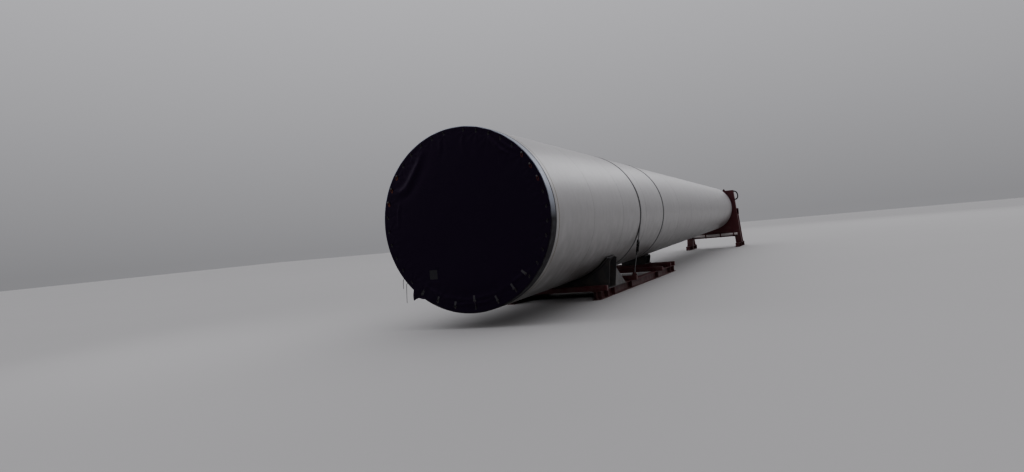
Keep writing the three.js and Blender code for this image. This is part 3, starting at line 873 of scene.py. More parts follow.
def add_belt(number, leg):
    """The loop round the shell and the leg that leaves it towards the ratchet."""
    shapes = Shapes()
    radius = radius_at(leg.station - BELT_WIDTH / 2) + 0.0005 + BELT_THICKNESS / 2
    loop = [clock(360 * i / 160, radius) for i in range(160)]
    ribbon(shapes, loop, leg.station, BELT_WIDTH, BELT_THICKNESS, closed=True)
    path = []
    for i in range(9):
        angle = math.radians(24 - 4.0 * i)
        reach = radius + BELT_THICKNESS * min(1, (i + 1) / 3)
        path.append((leg.side * reach * math.cos(angle), reach * math.sin(angle)))
    path += [leg.flat(along) for along in (0.06, 0.2, 0.35, 0.5, LEG_LENGTH + 0.09)]
    ribbon(shapes, path, leg.station, BELT_WIDTH, BELT_THICKNESS)
    shapes.piece(f"lashing_belt_{number}_webbing", WEBBING, f"lashing_belt_{number}", smooth=50)


def add_stitching(number, leg):
    """Rows of stitches where the leg is sewn to the loop and where the strap is folded round its pin."""
    shapes = Shapes()
    strap = LEG_LENGTH + RATCHET_LENGTH
    for low, high in ((0.04, 0.24), (strap + 0.03, strap + 0.16), (leg.pin - 0.2, leg.pin - 0.05)):
        for across in (-0.048, -0.024, 0.0, 0.024, 0.048):
            along = low
            while along < high:
                ends = [leg.point(a, 0.0034, across) for a in (along, along + 0.008)]
                shapes.tube(ends, 0.0012, 6)
                along += 0.012
    shapes.piece(f"lashing_stitches_{number}", STITCH)


# A ratchet's plates, as (along the leg from its top, out), and its bars: along, out, half length and radius
RATCHET_FRAME = (
    (0.02, -0.012), (0.04, -0.026), (0.1, -0.032), (0.17, -0.026), (0.36, -0.018), (0.43, -0.016),
    (0.436, 0.0), (0.43, 0.014), (0.36, 0.012), (0.17, 0.010), (0.1, 0.016), (0.04, 0.012),
)
RATCHET_HANDLE = (
    (0.06, -0.01), (0.1, -0.028), (0.14, 0.0), (0.24, 0.012), (0.4, 0.014), (0.432, 0.018),
    (0.436, 0.03), (0.4, 0.034), (0.24, 0.032), (0.13, 0.034), (0.08, 0.026),
)
RATCHET_BARS = (
    (SPINDLE, 0.0, 0.066, 0.012), (FIXED_BOLT, 0.0, 0.06, 0.010), (0.19, 0.018, 0.062, 0.008),
    (0.3, 0.022, 0.064, 0.006), (0.42, 0.026, 0.067, 0.011), (0.05, -0.006, 0.058, 0.006),
)
RATCHET_TEETH = [
    (SPINDLE + reach * math.cos(2 * math.pi * i / 26), reach * math.sin(2 * math.pi * i / 26))
    for i, reach in enumerate((0.026, 0.031) * 13)
]


def add_ratchet(number, leg):
    """Frame, handle, spindle with its roll of webbing, toothed wheels, pawl and bolts."""
    shapes = Shapes()
    for side in (-1, 1):
        for outline, across, half in (
            (RATCHET_FRAME, 0.0585, 0.002), (RATCHET_HANDLE, 0.0655, 0.002), (RATCHET_TEETH, 0.052, 0.0025),
        ):
            shapes.loft([
                [leg.point(LEG_LENGTH + a, b, side * across + c) for a, b in outline] for c in (-half, half)
            ])
        for along, across, size in ((SPINDLE, 0.0675, 0.020), (FIXED_BOLT, 0.0605, M12)):
            shapes.bolt(leg.point(LEG_LENGTH + along, 0, side * across), (0, side, 0), size)
    for along, out, half, radius in RATCHET_BARS:
        shapes.tube([leg.point(LEG_LENGTH + along, out, end) for end in (-half, half)], radius, 20)
    shapes.piece(f"ratchet_{number}_body", RATCHET, f"ratchet_{number}", bevel=0.0008, smooth=30)
    roll = Shapes()
    path = []
    for i in range(64):
        turn = math.radians(i * 15)
        reach = 0.014 + 0.016 * i / 63
        path.append(leg.flat(LEG_LENGTH + SPINDLE + reach * math.cos(turn), reach * math.sin(turn)))
    ribbon(roll, path, leg.station, 0.096, 0.0042)
    roll.piece(f"ratchet_{number}_wound_webbing", WEBBING, smooth=50)


def add_lower_strap(number, leg):
    """The sewn strap from the ratchet's fixed bolt down round the pin of the lashing eye."""
    top = LEG_LENGTH + FIXED_BOLT
    line = [(top + 0.13, -0.0055), (top + 0.05, -0.011)]
    line += [(top - 0.014 * math.sin(t), 0.014 * -math.cos(t)) for t in np.linspace(0.3, 2.84, 9)]
    line += [(top + 0.05, 0.011), (top + 0.13, 0.0), (leg.pin - 0.16, 0.0), (leg.pin - 0.07, 0.010)]
    line += [(leg.pin + 0.0165 * math.sin(t), 0.0165 * math.cos(t)) for t in np.linspace(0.2, 2.94, 9)]
    line += [(leg.pin - 0.07, -0.011), (leg.pin - 0.2, -0.0055)]
    shapes = Shapes()
    ribbon(shapes, [leg.flat(along, out) for along, out in line], leg.station, 0.094, BELT_THICKNESS)
    shapes.piece(f"ratchet_strap_{number}_webbing", WEBBING, f"ratchet_strap_{number}", smooth=50)


def add_lashings():
    legs = {"middle": Leg(CROSS_STATIONS["middle"], 1), "front": Leg(CROSS_STATIONS["front"], -1)}
    for number, leg in enumerate(legs.values(), 1):
        add_belt(number, leg)
        add_stitching(number, leg)
        add_ratchet(number, leg)
        add_lower_strap(number, leg)
    return legs


def i_section(centre):
    """A rolled beam's outline, (across, height), with its root fillets."""
    half, flange, web, root = 0.120, 0.017, 0.010, 0.018
    right = [(half, 0), (half, flange)]
    for i in range(5):
        turn = math.pi / 2 * i / 4
        right.append((web / 2 + root - root * math.sin(turn), flange + root - root * math.cos(turn)))
    right += [(a, BEAM_HEIGHT - z) for a, z in reversed(right)]
    left = [(-a, z) for a, z in reversed(right)]
    return [(centre + a, z) for a, z in right + left]


def beam_rib(shapes, centre, out, reach, y_mid, half):
    """A stiffener with clipped corners between a rolled beam's flanges; gives the places of its edges."""
    web_x = centre + out * 0.005
    clip_x = web_x + out * 0.022
    edge_x = centre + out * reach
    outline = [
        (clip_x, 0.017), (edge_x, 0.017), (edge_x, 0.223), (clip_x, 0.223), (web_x, 0.201), (web_x, 0.039),
    ]
    shapes.prism(outline, "Y", y_mid - half, y_mid + half)
    return web_x, clip_x, edge_x


def lug_outline(x, foot, half_foot, eye, radius):
    """An eye's outline, (across, height), with a round head."""
    head = [(x + radius * math.cos(t), eye + radius * math.sin(t)) for t in np.linspace(0, math.pi, 13)]
    return [(x - half_foot, foot), (x + half_foot, foot)] + head


def web_stations(cradle):
    """The middles of a cradle's two transverse webs."""
    reach = CRADLE_HALF_LENGTH - WEB_SETBACK - WEB / 2
    return [cradle["station"] - reach, cradle["station"] + reach]


def add_base_beams():
    """Two rolled beams with stiffeners under the cross beams and cradles."""
    stations = list(CROSS_STATIONS.values())
    for cradle in CRADLES.values():
        stations += web_stations(cradle)
    for label, side in SIDES:
        shapes = Shapes()
        shapes.prism(i_section(side * BASE_X), "Y", NEAR_Y + BASE_ENDS[0], NEAR_Y + BASE_ENDS[1])
        for station in stations:
            for out in (-1, 1):
                web_x, clip_x, edge_x = beam_rib(shapes, side * BASE_X, out, 0.112, NEAR_Y + station, 0.005)
                y_bead = NEAR_Y + station - 0.006
                shapes.weld([(edge_x, y_bead, 0.02), (clip_x, y_bead, 0.02)], THIN_WELD)
                shapes.weld([(web_x, y_bead, 0.04), (web_x, y_bead, 0.2)], THIN_WELD)
        shapes.piece(f"base_beam_{label}_rolled", RED, f"base_beam_{label}")


def bolted_tube(shapes, y_mid, half):
    """A square tube with end caps across both base beams, bolted down through cleats."""
    outline = rounded_box(y_mid - TUBE_HALF, BEAM_HEIGHT, y_mid + TUBE_HALF, CROSS_TOP, 0.014)
    shapes.prism(outline, "X", -half + 0.006, half - 0.006)
    cap = rounded_box(y_mid - 0.068, BEAM_HEIGHT + 0.007, y_mid + 0.068, CROSS_TOP - 0.007, 0.01)
    cleat = 0.012
    for side in (-1, 1):
        shapes.prism(cap, "X", side * (half - 0.008), side * half)
        x0 = side * BASE_X - 0.09
        x1 = side * BASE_X + 0.09
        for near in (-1, 1):
            face = y_mid + near * TUBE_HALF
            upright = sorted((face, face + near * cleat))
            foot = sorted((face, face + near * 0.075))
            shapes.box((x0, upright[0], BEAM_HEIGHT + 0.006), (x1, upright[1], 0.33))
            shapes.box((x0, foot[0], BEAM_HEIGHT), (x1, foot[1], BEAM_HEIGHT + cleat))
            for bolt_x in (x0 + 0.04, x1 - 0.04):
                shapes.bolt((bolt_x, face + near * 0.045, BEAM_HEIGHT + cleat), (0, 0, 1), M20)
                shapes.bolt((bolt_x, face + near * cleat, 0.30), (0, near, 0), M20)


def add_cross_beams(legs):
    """Three square tubes, with lashing eyes on two of them."""
    for label, station in CROSS_STATIONS.items():
        shapes = Shapes()
        y_mid = NEAR_Y + station
        bolted_tube(shapes, y_mid, CROSS_HALF)
        if label in legs:
            x, _ = legs[label].flat(legs[label].pin)
            foot = 0.07
            for near in (-1, 1):
                y_lug = y_mid + near * 0.0625
                y_face = y_lug + near * 0.007
                lug = lug_outline(x, CROSS_TOP - 0.004, foot, EYE_UP, 0.044)
                shapes.prism(lug, "Y", y_lug - 0.007, y_lug + 0.007)
                z_bead = CROSS_TOP + 0.002
                shapes.weld([(x - foot, y_face, z_bead), (x + foot, y_face, z_bead)], WELD)
                shapes.bolt((x, y_face, EYE_UP), (0, near, 0), M22)
            shapes.tube([(x, y_mid - 0.07, EYE_UP), (x, y_mid + 0.07, EYE_UP)], 0.0125, 20)
        name = f"base_cross_beam_{label}"
        shapes.piece(name + "_tube", RED, name, bevel=EASED_EDGE, smooth=30)


def under_arc(y_local, offset, half_angle, count):
    """Points (across, height over the floor) under the tower, from one wing to the other."""
    radius = radius_at(y_local) + offset
    points = []
    for i in range(count + 1):
        turn = math.radians(half_angle * (1 - 2 * i / count))
        points.append((radius * math.sin(turn), AXIS_Z - radius * math.cos(turn)))
    return points


def curved_plate(shapes, y0, y1, inner, outer, start, end, count):
    """Part of a curved plate under the tower, between two angles from straight down."""
    rings = []
    for i in range(count + 1):
        turn = math.radians(start + (end - start) * i / count)
        ring = []
        for y_local, offset in ((y0, inner), (y1, inner), (y1, outer), (y0, outer)):
            radius = radius_at(y_local) + offset
            ring.append(place(radius * math.sin(turn), y_local, -radius * math.cos(turn)))
        rings.append(ring)
    shapes.loft(rings)


def add_cradle(label, cradle):
    """A welded saddle: curved plate, two webs, bottom plate and braces, bolted to what is under it."""
    y0 = cradle["station"] - CRADLE_HALF_LENGTH
    y1 = cradle["station"] + CRADLE_HALF_LENGTH
    rear = y0 + WEB_SETBACK
    front = y1 - WEB_SETBACK
    inner = PAD_THICKNESS + 0.0009
    outer = inner + SADDLE_PLATE
    wing = cradle["wing"]
    half = cradle["half_low"]
    half_high = cradle["half_high"]
    floor = cradle["floor"] + BOTTOM_PLATE
    shapes = Shapes()
    curved_plate(shapes, y0, y1, inner, outer, -wing, wing, round(1.6 * wing))
    for web_y in (rear, front - WEB):
        arc = under_arc(web_y, outer - 0.002, wing - 0.2, 64)
        shoulder = arc[0][1] - 0.02
        outline = [
            (-half, floor - 0.002), (half, floor - 0.002), (half_high, shoulder),
            *arc, (-half_high, shoulder),
        ]
        shapes.prism(outline, "Y", NEAR_Y + web_y, NEAR_Y + web_y + WEB)
        for face, outwards in ((web_y, -1), (web_y + WEB, 1)):
            y_face = NEAR_Y + face + outwards * 0.003
            under = under_arc(face, outer, wing - 0.7, 40)
            shapes.weld([(x, y_face, z - 0.003) for x, z in under], HEAVY_WELD)
            shapes.weld([(-half, y_face, floor + 0.003), (half, y_face, floor + 0.003)], HEAVY_WELD)
    plate_end = NEAR_Y + front + cradle["gusset_reach"] + 0.05
    shapes.box((-half, NEAR_Y + rear - 0.05, cradle["floor"]), (half, plate_end, floor))
    for side in (-1, 1):
        for x in cradle["bolt_x"]:
            for along in cradle["bolt_rows"]:
                shapes.bolt((side * x, NEAR_Y + front + along, floor), (0, 0, 1), M24)
        for brace_x in cradle["braces"]:
            reach = radius_at(cradle["station"]) + outer
            top = AXIS_Z - math.sqrt(reach ** 2 - (brace_x + 0.01) ** 2)
            low = (side * brace_x - 0.008, NEAR_Y + rear + 0.02, floor - 0.002)
            high = (side * brace_x + 0.008, NEAR_Y + front - 0.02, top + 0.003)
            shapes.box(low, high)
    shapes.piece(f"cradle_{label}_weldment", DARK, f"cradle_{label}", bevel=EASED_EDGE, smooth=30)
    add_gussets(label, cradle, NEAR_Y + front, floor)
    add_pad(label, cradle)
    if cradle["floor"] > BEAM_HEIGHT:
        sleepers = Shapes()
        for station in (rear, front):
            bolted_tube(sleepers, NEAR_Y + station, SLEEPER_HALF)
        sleepers.piece(f"cradle_{label}_sleepers", RED, bevel=EASED_EDGE, smooth=30)


def add_gussets(label, cradle, foot, floor):
    """The stiffeners that stand on the bottom plate in front of the cradle."""
    shapes = Shapes()
    reach = cradle["gusset_reach"]
    height = cradle["gusset_height"]
    tip = foot + 0.95 * reach
    top = floor + height - 0.03
    beads = (
        ((foot + 0.03, floor + 0.003), (foot + 0.93 * reach, floor + 0.003)),
        ((foot + 0.003, floor + 0.04), (foot + 0.003, floor + 0.93 * height)),
    )
    outline = [
        (foot, floor + 0.03), (foot + 0.03, floor), (tip, floor), (tip, floor + 0.035 * height),
        (foot + 0.03, top), (foot, top),
    ]
    for side in (-1, 1):
        x = side * cradle["gusset_x"]
        shapes.prism(outline, "X", x - 0.010, x + 0.010)
        for out in (-1, 1):
            for bead in beads:
                shapes.weld([(x + out * 0.012, *end) for end in bead], WELD)
    shapes.piece(f"cradle_{label}_gussets", LIT_GUSSET_PAINT, bevel=EASED_EDGE, smooth=30)


def add_pad(label, cradle):
    """Rubber blocks glued side by side along the saddle."""
    shapes = Shapes()
    y0 = cradle["station"] - 0.4
    y1 = cradle["station"] + 0.4
    pitch = 2 * cradle["pad"] / cradle["blocks"]
    gap = 0.06
    for i in range(cradle["blocks"]):
        start = -cradle["pad"] + i * pitch + gap
        curved_plate(shapes, y0, y1, 0.0008, PAD_THICKNESS + 0.0005, start, start + pitch - 2 * gap, 5)
    shapes.piece(f"cradle_{label}_rubber_blocks", RUBBER, f"cradle_{label}_pad", bevel=0.004, smooth=40)


def plate_rim(turn):
    """Where a ray from the tower's axis meets the face plate's outline, as (across, up)."""
    a = math.cos(turn)
    b = math.sin(turn)
    slope = (FRAME_HALF_AT_TOP - FRAME_HALF_AT_FLOOR) / FRAME_TOP
    reaches = [(FRAME_TOP - AXIS_Z) / b if b > 1e-9 else 9, (PLATE_LOW - AXIS_Z) / b if b < -1e-9 else 9]
    side_gap = abs(a) - slope * b
    if side_gap > 1e-9:
        reaches.append(front_half_width(AXIS_Z) / side_gap)
    return a * min(reaches), b * min(reaches)


def add_flange_bracket(shapes, x, up):
    """A bracket from the narrow flange to the face plate, bolted to both."""
    shapes.box(place(x - 0.11, LENGTH + 0.0005, up - 0.11), place(x + 0.11, LENGTH + 0.026, up + 0.11))
    shapes.box(place(x - 0.075, LENGTH + 0.02, up - 0.075), place(x + 0.075, FRAME_Y + 0.005, up + 0.075))
    y_foot = NEAR_Y + LENGTH + 0.024
    y_head = PLATE_REAR + 0.004
    edges = ((0.074, y_foot), (0.108, y_foot), (0.078, y_head), (0.074, y_head))
    for out in (-1, 1):
        rib = [(x + out * a, y) for a, y in edges]
        for rib_up in (-0.05, 0.05):
            z_rib = AXIS_Z + up + rib_up
            shapes.prism(rib, "Z", z_rib - 0.006, z_rib + 0.006)
    for a, b in ((-0.092, 0.0), (0.092, 0.0), (0.0, 0.092), (0.0, -0.092)):
        shapes.bolt(place(x + a, LENGTH + 0.026, up + b), (0, 1, 0), M16)
    for step in (0.05, -0.05):
        a = math.copysign(step, x * step)
        b = math.copysign(step, up * step)
        seat = place(x + a, FRAME_Y + FACE_PLATE, up + b)
        shapes.bolt(seat, (0, 1, 0), M24)


def add_face_plate():
    """The plate behind the narrow flange with its round opening, and four brackets bolted to the flange."""
    shapes = Shapes()
    turns = [2 * math.pi * i / 120 for i in range(120)]
    for z in (PLATE_LOW, FRAME_TOP):
        for _, side in SIDES:
            turns.append(math.atan2(z - AXIS_Z, side * front_half_width(z)) % (2 * math.pi))
    turns.sort()
    rim = [plate_rim(turn) for turn in turns]
    hole = [(PLATE_OPENING * math.cos(turn), PLATE_OPENING * math.sin(turn)) for turn in turns]
    holed_plate(shapes, FRAME_Y, FRAME_Y + FACE_PLATE, rim, hole, [True] * len(turns))
    middle = FAR_RADIUS - FLANGES["far"]["inward"] / 2
    for degrees in (45, 135, 225, 315):
        add_flange_bracket(shapes, *clock(degrees, middle))
    shapes.piece("front_face_plate_with_brackets", RED, "front_face_plate", bevel=PLATE_EDGE, smooth=30)


def add_column(label, side, foot_x):
    """A tapered box column with its cap, foot plate and welds."""
    def outer(z):
        return side * front_half_width(z)

    def inner(z):
        return side * (front_half_width(z) - COLUMN_WIDTH)

    low = BEAM_HEIGHT + COLUMN_FOOT_PLATE
    cap_low = FRAME_TOP - COLUMN_CAP
    name = f"front_column_{label}"
    column = Shapes()
    outline = [(outer(low), low), (outer(cap_low), cap_low), (inner(cap_low), cap_low), (inner(low), low)]
    column.prism(outline, "Y", PLATE_FRONT + 0.001, COLUMN_FRONT)
    column.piece(name + "_box", RED, name, bevel=0.016, smooth=40)
    trim = Shapes()
    across = (outer(FRAME_TOP), inner(FRAME_TOP))
    cap = [(across[0], cap_low), (across[0], FRAME_TOP), (across[1], FRAME_TOP), (across[1], cap_low)]
    trim.prism(cap, "Y", PLATE_FRONT, COLUMN_FRONT)
    half = COLUMN_WIDTH / 2
    trim.box((foot_x - half, PLATE_FRONT, BEAM_HEIGHT), (foot_x + half, COLUMN_FRONT, low))
    for out in (-1, 1):
        for y_bolt in (PLATE_FRONT + 0.04, COLUMN_FRONT - 0.04):
            trim.bolt((foot_x + out * 0.09, y_bolt, low), (0, 0, 1), M20)
    for y_bead in (PLATE_FRONT - 0.002, COLUMN_FRONT + 0.002):
        trim.weld([(outer(low), y_bead, low), (inner(low), y_bead, low)], HEAVY_WELD)
    for z in (0.95, 1.75, 2.55):
        trim.weld([(outer(z), PLATE_FRONT + 0.01, z), (outer(z), COLUMN_FRONT - 0.01, z)], WELD)
        trim.weld([(outer(z), COLUMN_FRONT + 0.001, z), (inner(z), COLUMN_FRONT + 0.001, z)], WELD)
    trim.piece(name + "_trim", RED, bevel=PLATE_EDGE, smooth=30)


def add_foot(label, foot_x):
    """The rolled beam under a column, with its stiffeners."""
    foot = Shapes()
    foot.prism(i_section(foot_x), "Y", FOOT_REAR, FOOT_FRONT)
    ribs = (FOOT_REAR + 0.01, PLATE_FRONT + 0.02, COLUMN_FRONT - 0.02, FOOT_FRONT - 0.35, FOOT_FRONT - 0.01)
    for y_rib in ribs:
        for out in (-1, 1):
            beam_rib(foot, foot_x, out, 0.114, y_rib, 0.006)
    foot.piece(f"front_foot_{label}_rolled", RED, f"front_foot_{label}")


def add_brace(label, foot_x):
    """The raking square tube between a column and the end of its foot, with two bolted end plates."""
    name = f"front_brace_{label}"
    end = FOOT_FRONT - 0.080
    slope = (BRACE_TOP - BEAM_HEIGHT) / (end - COLUMN_FRONT)
    rise = BRACE_DEPTH * math.hypot(1, slope)
    under = BRACE_TOP - rise
    start = end - rise / slope
    outline = [(COLUMN_FRONT, BRACE_TOP), (COLUMN_FRONT, under), (start, BEAM_HEIGHT), (end, BEAM_HEIGHT)]
    brace = Shapes()
    brace.prism(outline, "X", foot_x - 0.070, foot_x + 0.070)
    brace.piece(name + "_tube", RED, name, bevel=0.010, smooth=40)
    ends = Shapes()
    y_face = COLUMN_FRONT + 0.014
    z_face = BEAM_HEIGHT + 0.014
    half = 0.11
    ends.box((foot_x - half, COLUMN_FRONT, under - 0.05), (foot_x + half, y_face, BRACE_TOP + 0.045))
    ends.box((foot_x - half, start - 0.04, BEAM_HEIGHT), (foot_x + half, FOOT_FRONT - 0.01, z_face))
    for out in (-1, 1):
        bolt_x = foot_x + out * 0.09
        for z in (BRACE_TOP + 0.025, under - 0.03):
            ends.bolt((bolt_x, y_face, z), (0, 1, 0), M16)
        for y_bolt in (start - 0.018, FOOT_FRONT - 0.045):
            ends.bolt((bolt_x, y_bolt, z_face), (0, 0, 1), M16)
    ends.piece(name + "_end_plates", RED, bevel=PLATE_EDGE, smooth=30)


def add_front_columns():
    for label, side in SIDES:
        foot_x = side * (front_half_width(BEAM_HEIGHT) - COLUMN_WIDTH / 2)
        add_column(label, side, foot_x)
        add_foot(label, foot_x)
        add_brace(label, foot_x)


def add_front_beams():
    """Top and low beams between the columns, with end welds, two lifting lugs above and two ribs below."""
    for label, bottom in FRAME_BEAMS.items():
        name = f"front_{label}_beam"
        upper = bottom + FRAME_BEAM_HEIGHT
        low_half, high_half = (front_half_width(z) - COLUMN_WIDTH - 0.0003 for z in (bottom, upper))
        outline = [(-low_half, bottom), (low_half, bottom), (high_half, upper), (-high_half, upper)]
        beam = Shapes()
        beam.prism(outline, "Y", PLATE_FRONT + 0.0005, BEAM_FRONT)
        beam.piece(name + "_box", RED, name, bevel=0.014, smooth=40)
        trim = Shapes()
        for side in (-1, 1):
            y_bead = BEAM_FRONT - 0.002
            bead = [(side * low_half, y_bead, bottom + 0.01), (side * high_half, y_bead, upper - 0.01)]
            trim.weld(bead, HEAVY_WELD)
            if label == "top":
                eye = upper + 0.055
                y_lug = PLATE_FRONT + 0.115
                lug = lug_outline(side * LUG_X, upper - 0.004, 0.09, eye, 0.05)
                trim.prism(lug, "Y", y_lug, y_lug + 0.030)
                collar = [(0.024, -0.006), (0.038, -0.006), (0.038, 0.036), (0.024, 0.036)]
                trim.turned(collar, (side * LUG_X, y_lug, eye), (0, 1, 0), 28)
            else:
                x = side * RIB_X
                trim.box((x - 0.008, y_bead, bottom + 0.02), (x + 0.008, BEAM_FRONT + 0.03, upper - 0.02))
        trim.piece(name + "_trim", RED, bevel=PLATE_EDGE)


def add_hinge_tube():
    """The light tube across the foot of the frame, in four clamps."""
    reach = front_half_width(HINGE_UP) - 0.160
    bore = HINGE_RADIUS - 0.012
    outside = HINGE_RADIUS + 0.0003
    y_mid = PLATE_REAR - outside
    profile = [
        (bore, -reach + 0.01), (bore, -reach), (HINGE_RADIUS - 0.002, -reach), (HINGE_RADIUS, -reach + 0.003),
        (HINGE_RADIUS, reach - 0.003), (HINGE_RADIUS - 0.002, reach), (bore, reach), (bore, reach - 0.01),
    ]
    shapes = Shapes()
    shapes.turned(profile, (0, y_mid, HINGE_UP), (1, 0, 0), 40)
    for side in (-1, 1):
        disc = [(0.0, 0.0), (0.067, 0.0), (0.067, 0.006), (0.0, 0.006)]
        shapes.turned(disc, (side * (reach - 0.03), y_mid, HINGE_UP), (side, 0, 0), 40)
    shapes.piece("front_hinge_tube_pipe", LIT_GALVANISED, "front_hinge_tube")
    clamps = Shapes()
    y_seat = PLATE_REAR - 0.014
    for x in (-1.25, -0.45, 0.45, 1.25):
        band = [(outside, -0.04), (0.089, -0.04), (0.089, 0.04), (outside, 0.04)]
        clamps.turned(band, (x, y_mid, HINGE_UP), (1, 0, 0), 40)
        for up in (-1, 1):
            z0, z1 = sorted((HINGE_UP + up * 0.086, HINGE_UP + up * 0.16))
            clamps.box((x - 0.04, y_seat, z0), (x + 0.04, PLATE_REAR - 0.0005, z1))
            clamps.box((x - 0.006, PLATE_REAR - 0.075, z0), (x + 0.006, PLATE_REAR - 0.01, z0 + 0.02))
            clamps.bolt((x, y_seat, HINGE_UP + up * 0.135), (0, -1, 0), M16)
    clamps.piece("front_hinge_tube_clamps", RED, bevel=EASED_EDGE)


def add_handrail():
    """A bent tube on the right column, between two flanges."""
    y_mid = PLATE_REAR + 0.170
    top = FRAME_TOP - 0.070
    line = (
        (0.001, 0), (0.07, 0.004), (0.17, 0.08), (0.215, 0.23), (0.195, 0.385), (0.1, 0.488), (0.001, 0.5),
    )
    points = [(front_half_width(top - down) + out, y_mid, top - down) for out, down in line]
    rail = Shapes()
    rail.tube(smooth_path(points, 8), HANDRAIL_RADIUS, 20)
    rail.piece("front_handrail_tube", OLD_ZINC, "front_handrail", smooth=50)
    ends = Shapes()
    lean = Vector((1, 0, 0.0805)).normalized()
    profile = [(0.0, 0.0), (0.07, 0.0), (0.07, 0.008), (0.043, 0.01), (0.04, 0.02), (0.0, 0.02)]
    for z in (points[0][2], points[-1][2]):
        seat = Vector((front_half_width(z), y_mid, z))
        ends.turned(profile, seat, lean, 28)
        for y_off in (-0.056, 0.056):
            ends.bolt(seat + Vector((0, y_off, 0)) + lean * 0.008, lean, M8)
    ends.piece("front_handrail_flanges", OLD_ZINC)


def add_tie_cords():
    for label, route in CORDS.items():
        points = [place(*p) for p in route]
        path = smooth_path(points, 4)
        shapes = Shapes()
        shapes.tube(path, CORD_DIAMETER / 2)
        name = f"tie_cord_{label}"
        cord = shapes.piece(name + "_braid", WEBBING, name, smooth=60, slot="tie_cord")


def nearest_on_line(x, up, points):
    """Signed distance to a row of points, and the share of its length at the nearest place."""
    sizes = [math.dist(a, b) for a, b in zip(points, points[1:])]
    best = np.full(x.shape, 9.0)
    signed = np.full(x.shape, 9.0)
    share = np.zeros(x.shape)
    done = 0.0
    for (ax, au), (bx, bu), size in zip(points, points[1:], sizes):
        dx, du = (bx - ax) / size, (bu - au) / size
        along = np.clip((x - ax) * dx + (up - au) * du, 0, size)
        off_x = x - ax - along * dx
        off_up = up - au - along * du
        distance = np.hypot(off_x, off_up)
        closer = distance < best
        turn = np.where(dx * off_up - du * off_x < 0, -1.0, 1.0)
        best = np.where(closer, distance, best)
        signed = np.where(closer, distance * turn, signed)
        share = np.where(closer, (done + along) / sum(sizes), share)
        done += size
    return signed, share


def smooth_noise(a, b, seed):
    return np.array([noise.noise(Vector((p, q, seed))) for p, q in zip(a, b)])


def tie_gap_share(turn):
    """How far between its two neighbouring ties a clock angle lies, 0 to 1."""
    clocks = np.sort(np.array(TIE_CLOCKS))
    after = np.searchsorted(clocks, turn % 360) % len(clocks)
    high = clocks[after]
    low = clocks[after - 1]
    return ((turn - low) % 360) / ((high - low) % 360)


def fold_relief(x, up):
    """The long folds, each a ridge with a groove beside it, and the hollow by the first."""
    relief = np.zeros(x.shape)
    for points, height, width in FOLDS:
        signed, share = nearest_on_line(x, up, points)
        fade = np.sin(np.pi * np.clip(share, 0.01, 0.99)) ** 0.8
        ridge = np.exp(-(signed / width) ** 2)
        groove = 0.28 * np.exp(-((signed - 2.4 * width) / (1.7 * width)) ** 2)
        relief += height * fade * (ridge - groove)
    hollow = np.hypot(x - HOLLOW_CENTRE[0], up - HOLLOW_CENTRE[1]) / HOLLOW_REACH
    return relief - HOLLOW_DEPTH * np.exp(-hollow ** 2)


def tie_relief(x, up):
    """A dimple at each tie, and the small folds that fan out from it."""
    relief = np.zeros(x.shape)
    for i, degrees in enumerate(TIE_CLOCKS):
        tie_x, tie_up = clock(degrees, TIE_RADIUS)
        inward = (-tie_x / TIE_RADIUS, -tie_up / TIE_RADIUS)
        forward = (x - tie_x) * inward[0] + (up - tie_up) * inward[1]
        aside = (x - tie_x) * inward[1] - (up - tie_up) * inward[0]
        reach = np.hypot(forward, aside)
        fan = np.arctan2(aside, forward)
        slack = 1.35 if 125 < degrees < 235 else 0.8
        count = 6.5 + (i * 7 % 5)
        waves = np.cos(fan * count + i * 1.7) * np.exp(-(fan / 1.15) ** 2)
        rise = np.minimum(reach / 0.05, 1) * np.exp(-reach / (0.16 + 0.03 * (i % 3)))
        relief += 0.0075 * slack * waves * rise - 0.004 * np.exp(-(reach / 0.035) ** 2)
    return relief


def cover_depth(x, up):
    """How far the cloth stands out from the wide flange's face."""
    radius = np.hypot(x, up)
    turn = np.degrees(np.arctan2(x, up)) % 360
    from_edge = COVER_RADIUS - radius
    inside = np.clip(1 - radius / COVER_RADIUS, 0, 1)
    depth = 0.003 + 0.014 * (1 - np.exp(-inside * 9))
    depth += 0.016 * np.exp(-((up + 1.45) / 0.42) ** 2 - (x / 1.2) ** 2)
    depth += fold_relief(x, up) + tie_relief(x, up)
    depth += 0.007 * np.sin(np.pi * tie_gap_share(turn)) ** 2 * np.exp(-from_edge / 0.07)
    depth += 0.0045 * smooth_noise(x * 1.3, up * 1.3, 3.0) + 0.0016 * smooth_noise(x * 5.0, up * 5.0, 8.0)
    low_side = 0.5 + 0.8 / (1 + np.exp((up + 0.9) / 0.2))
    depth += 0.006 * smooth_noise(turn * 0.45, radius * 2.2, 1.0) * low_side * np.exp(-from_edge / 0.22)
    hem = 1 / (1 + np.exp(np.minimum((from_edge - HEM) / 0.0015, 700)))
    return np.maximum(depth, 0.0012) + 0.0014 * hem


def on_cover_exact(x, up):
    """A point on the cloth's outer side."""
    depth = float(cover_depth(np.array([x]), np.array([up]))[0])
    return place(x, -(depth + CLOTH), up)


def depth_net():
    """The cloth's depth on a fine square net."""
    line = -NET_REACH + NET_CELL * np.arange(NET_COUNT)
    x, up = np.meshgrid(line, line, indexing="ij")
    return cover_depth(x.ravel(), up.ravel()).reshape(x.shape)


DEPTHS = depth_net()


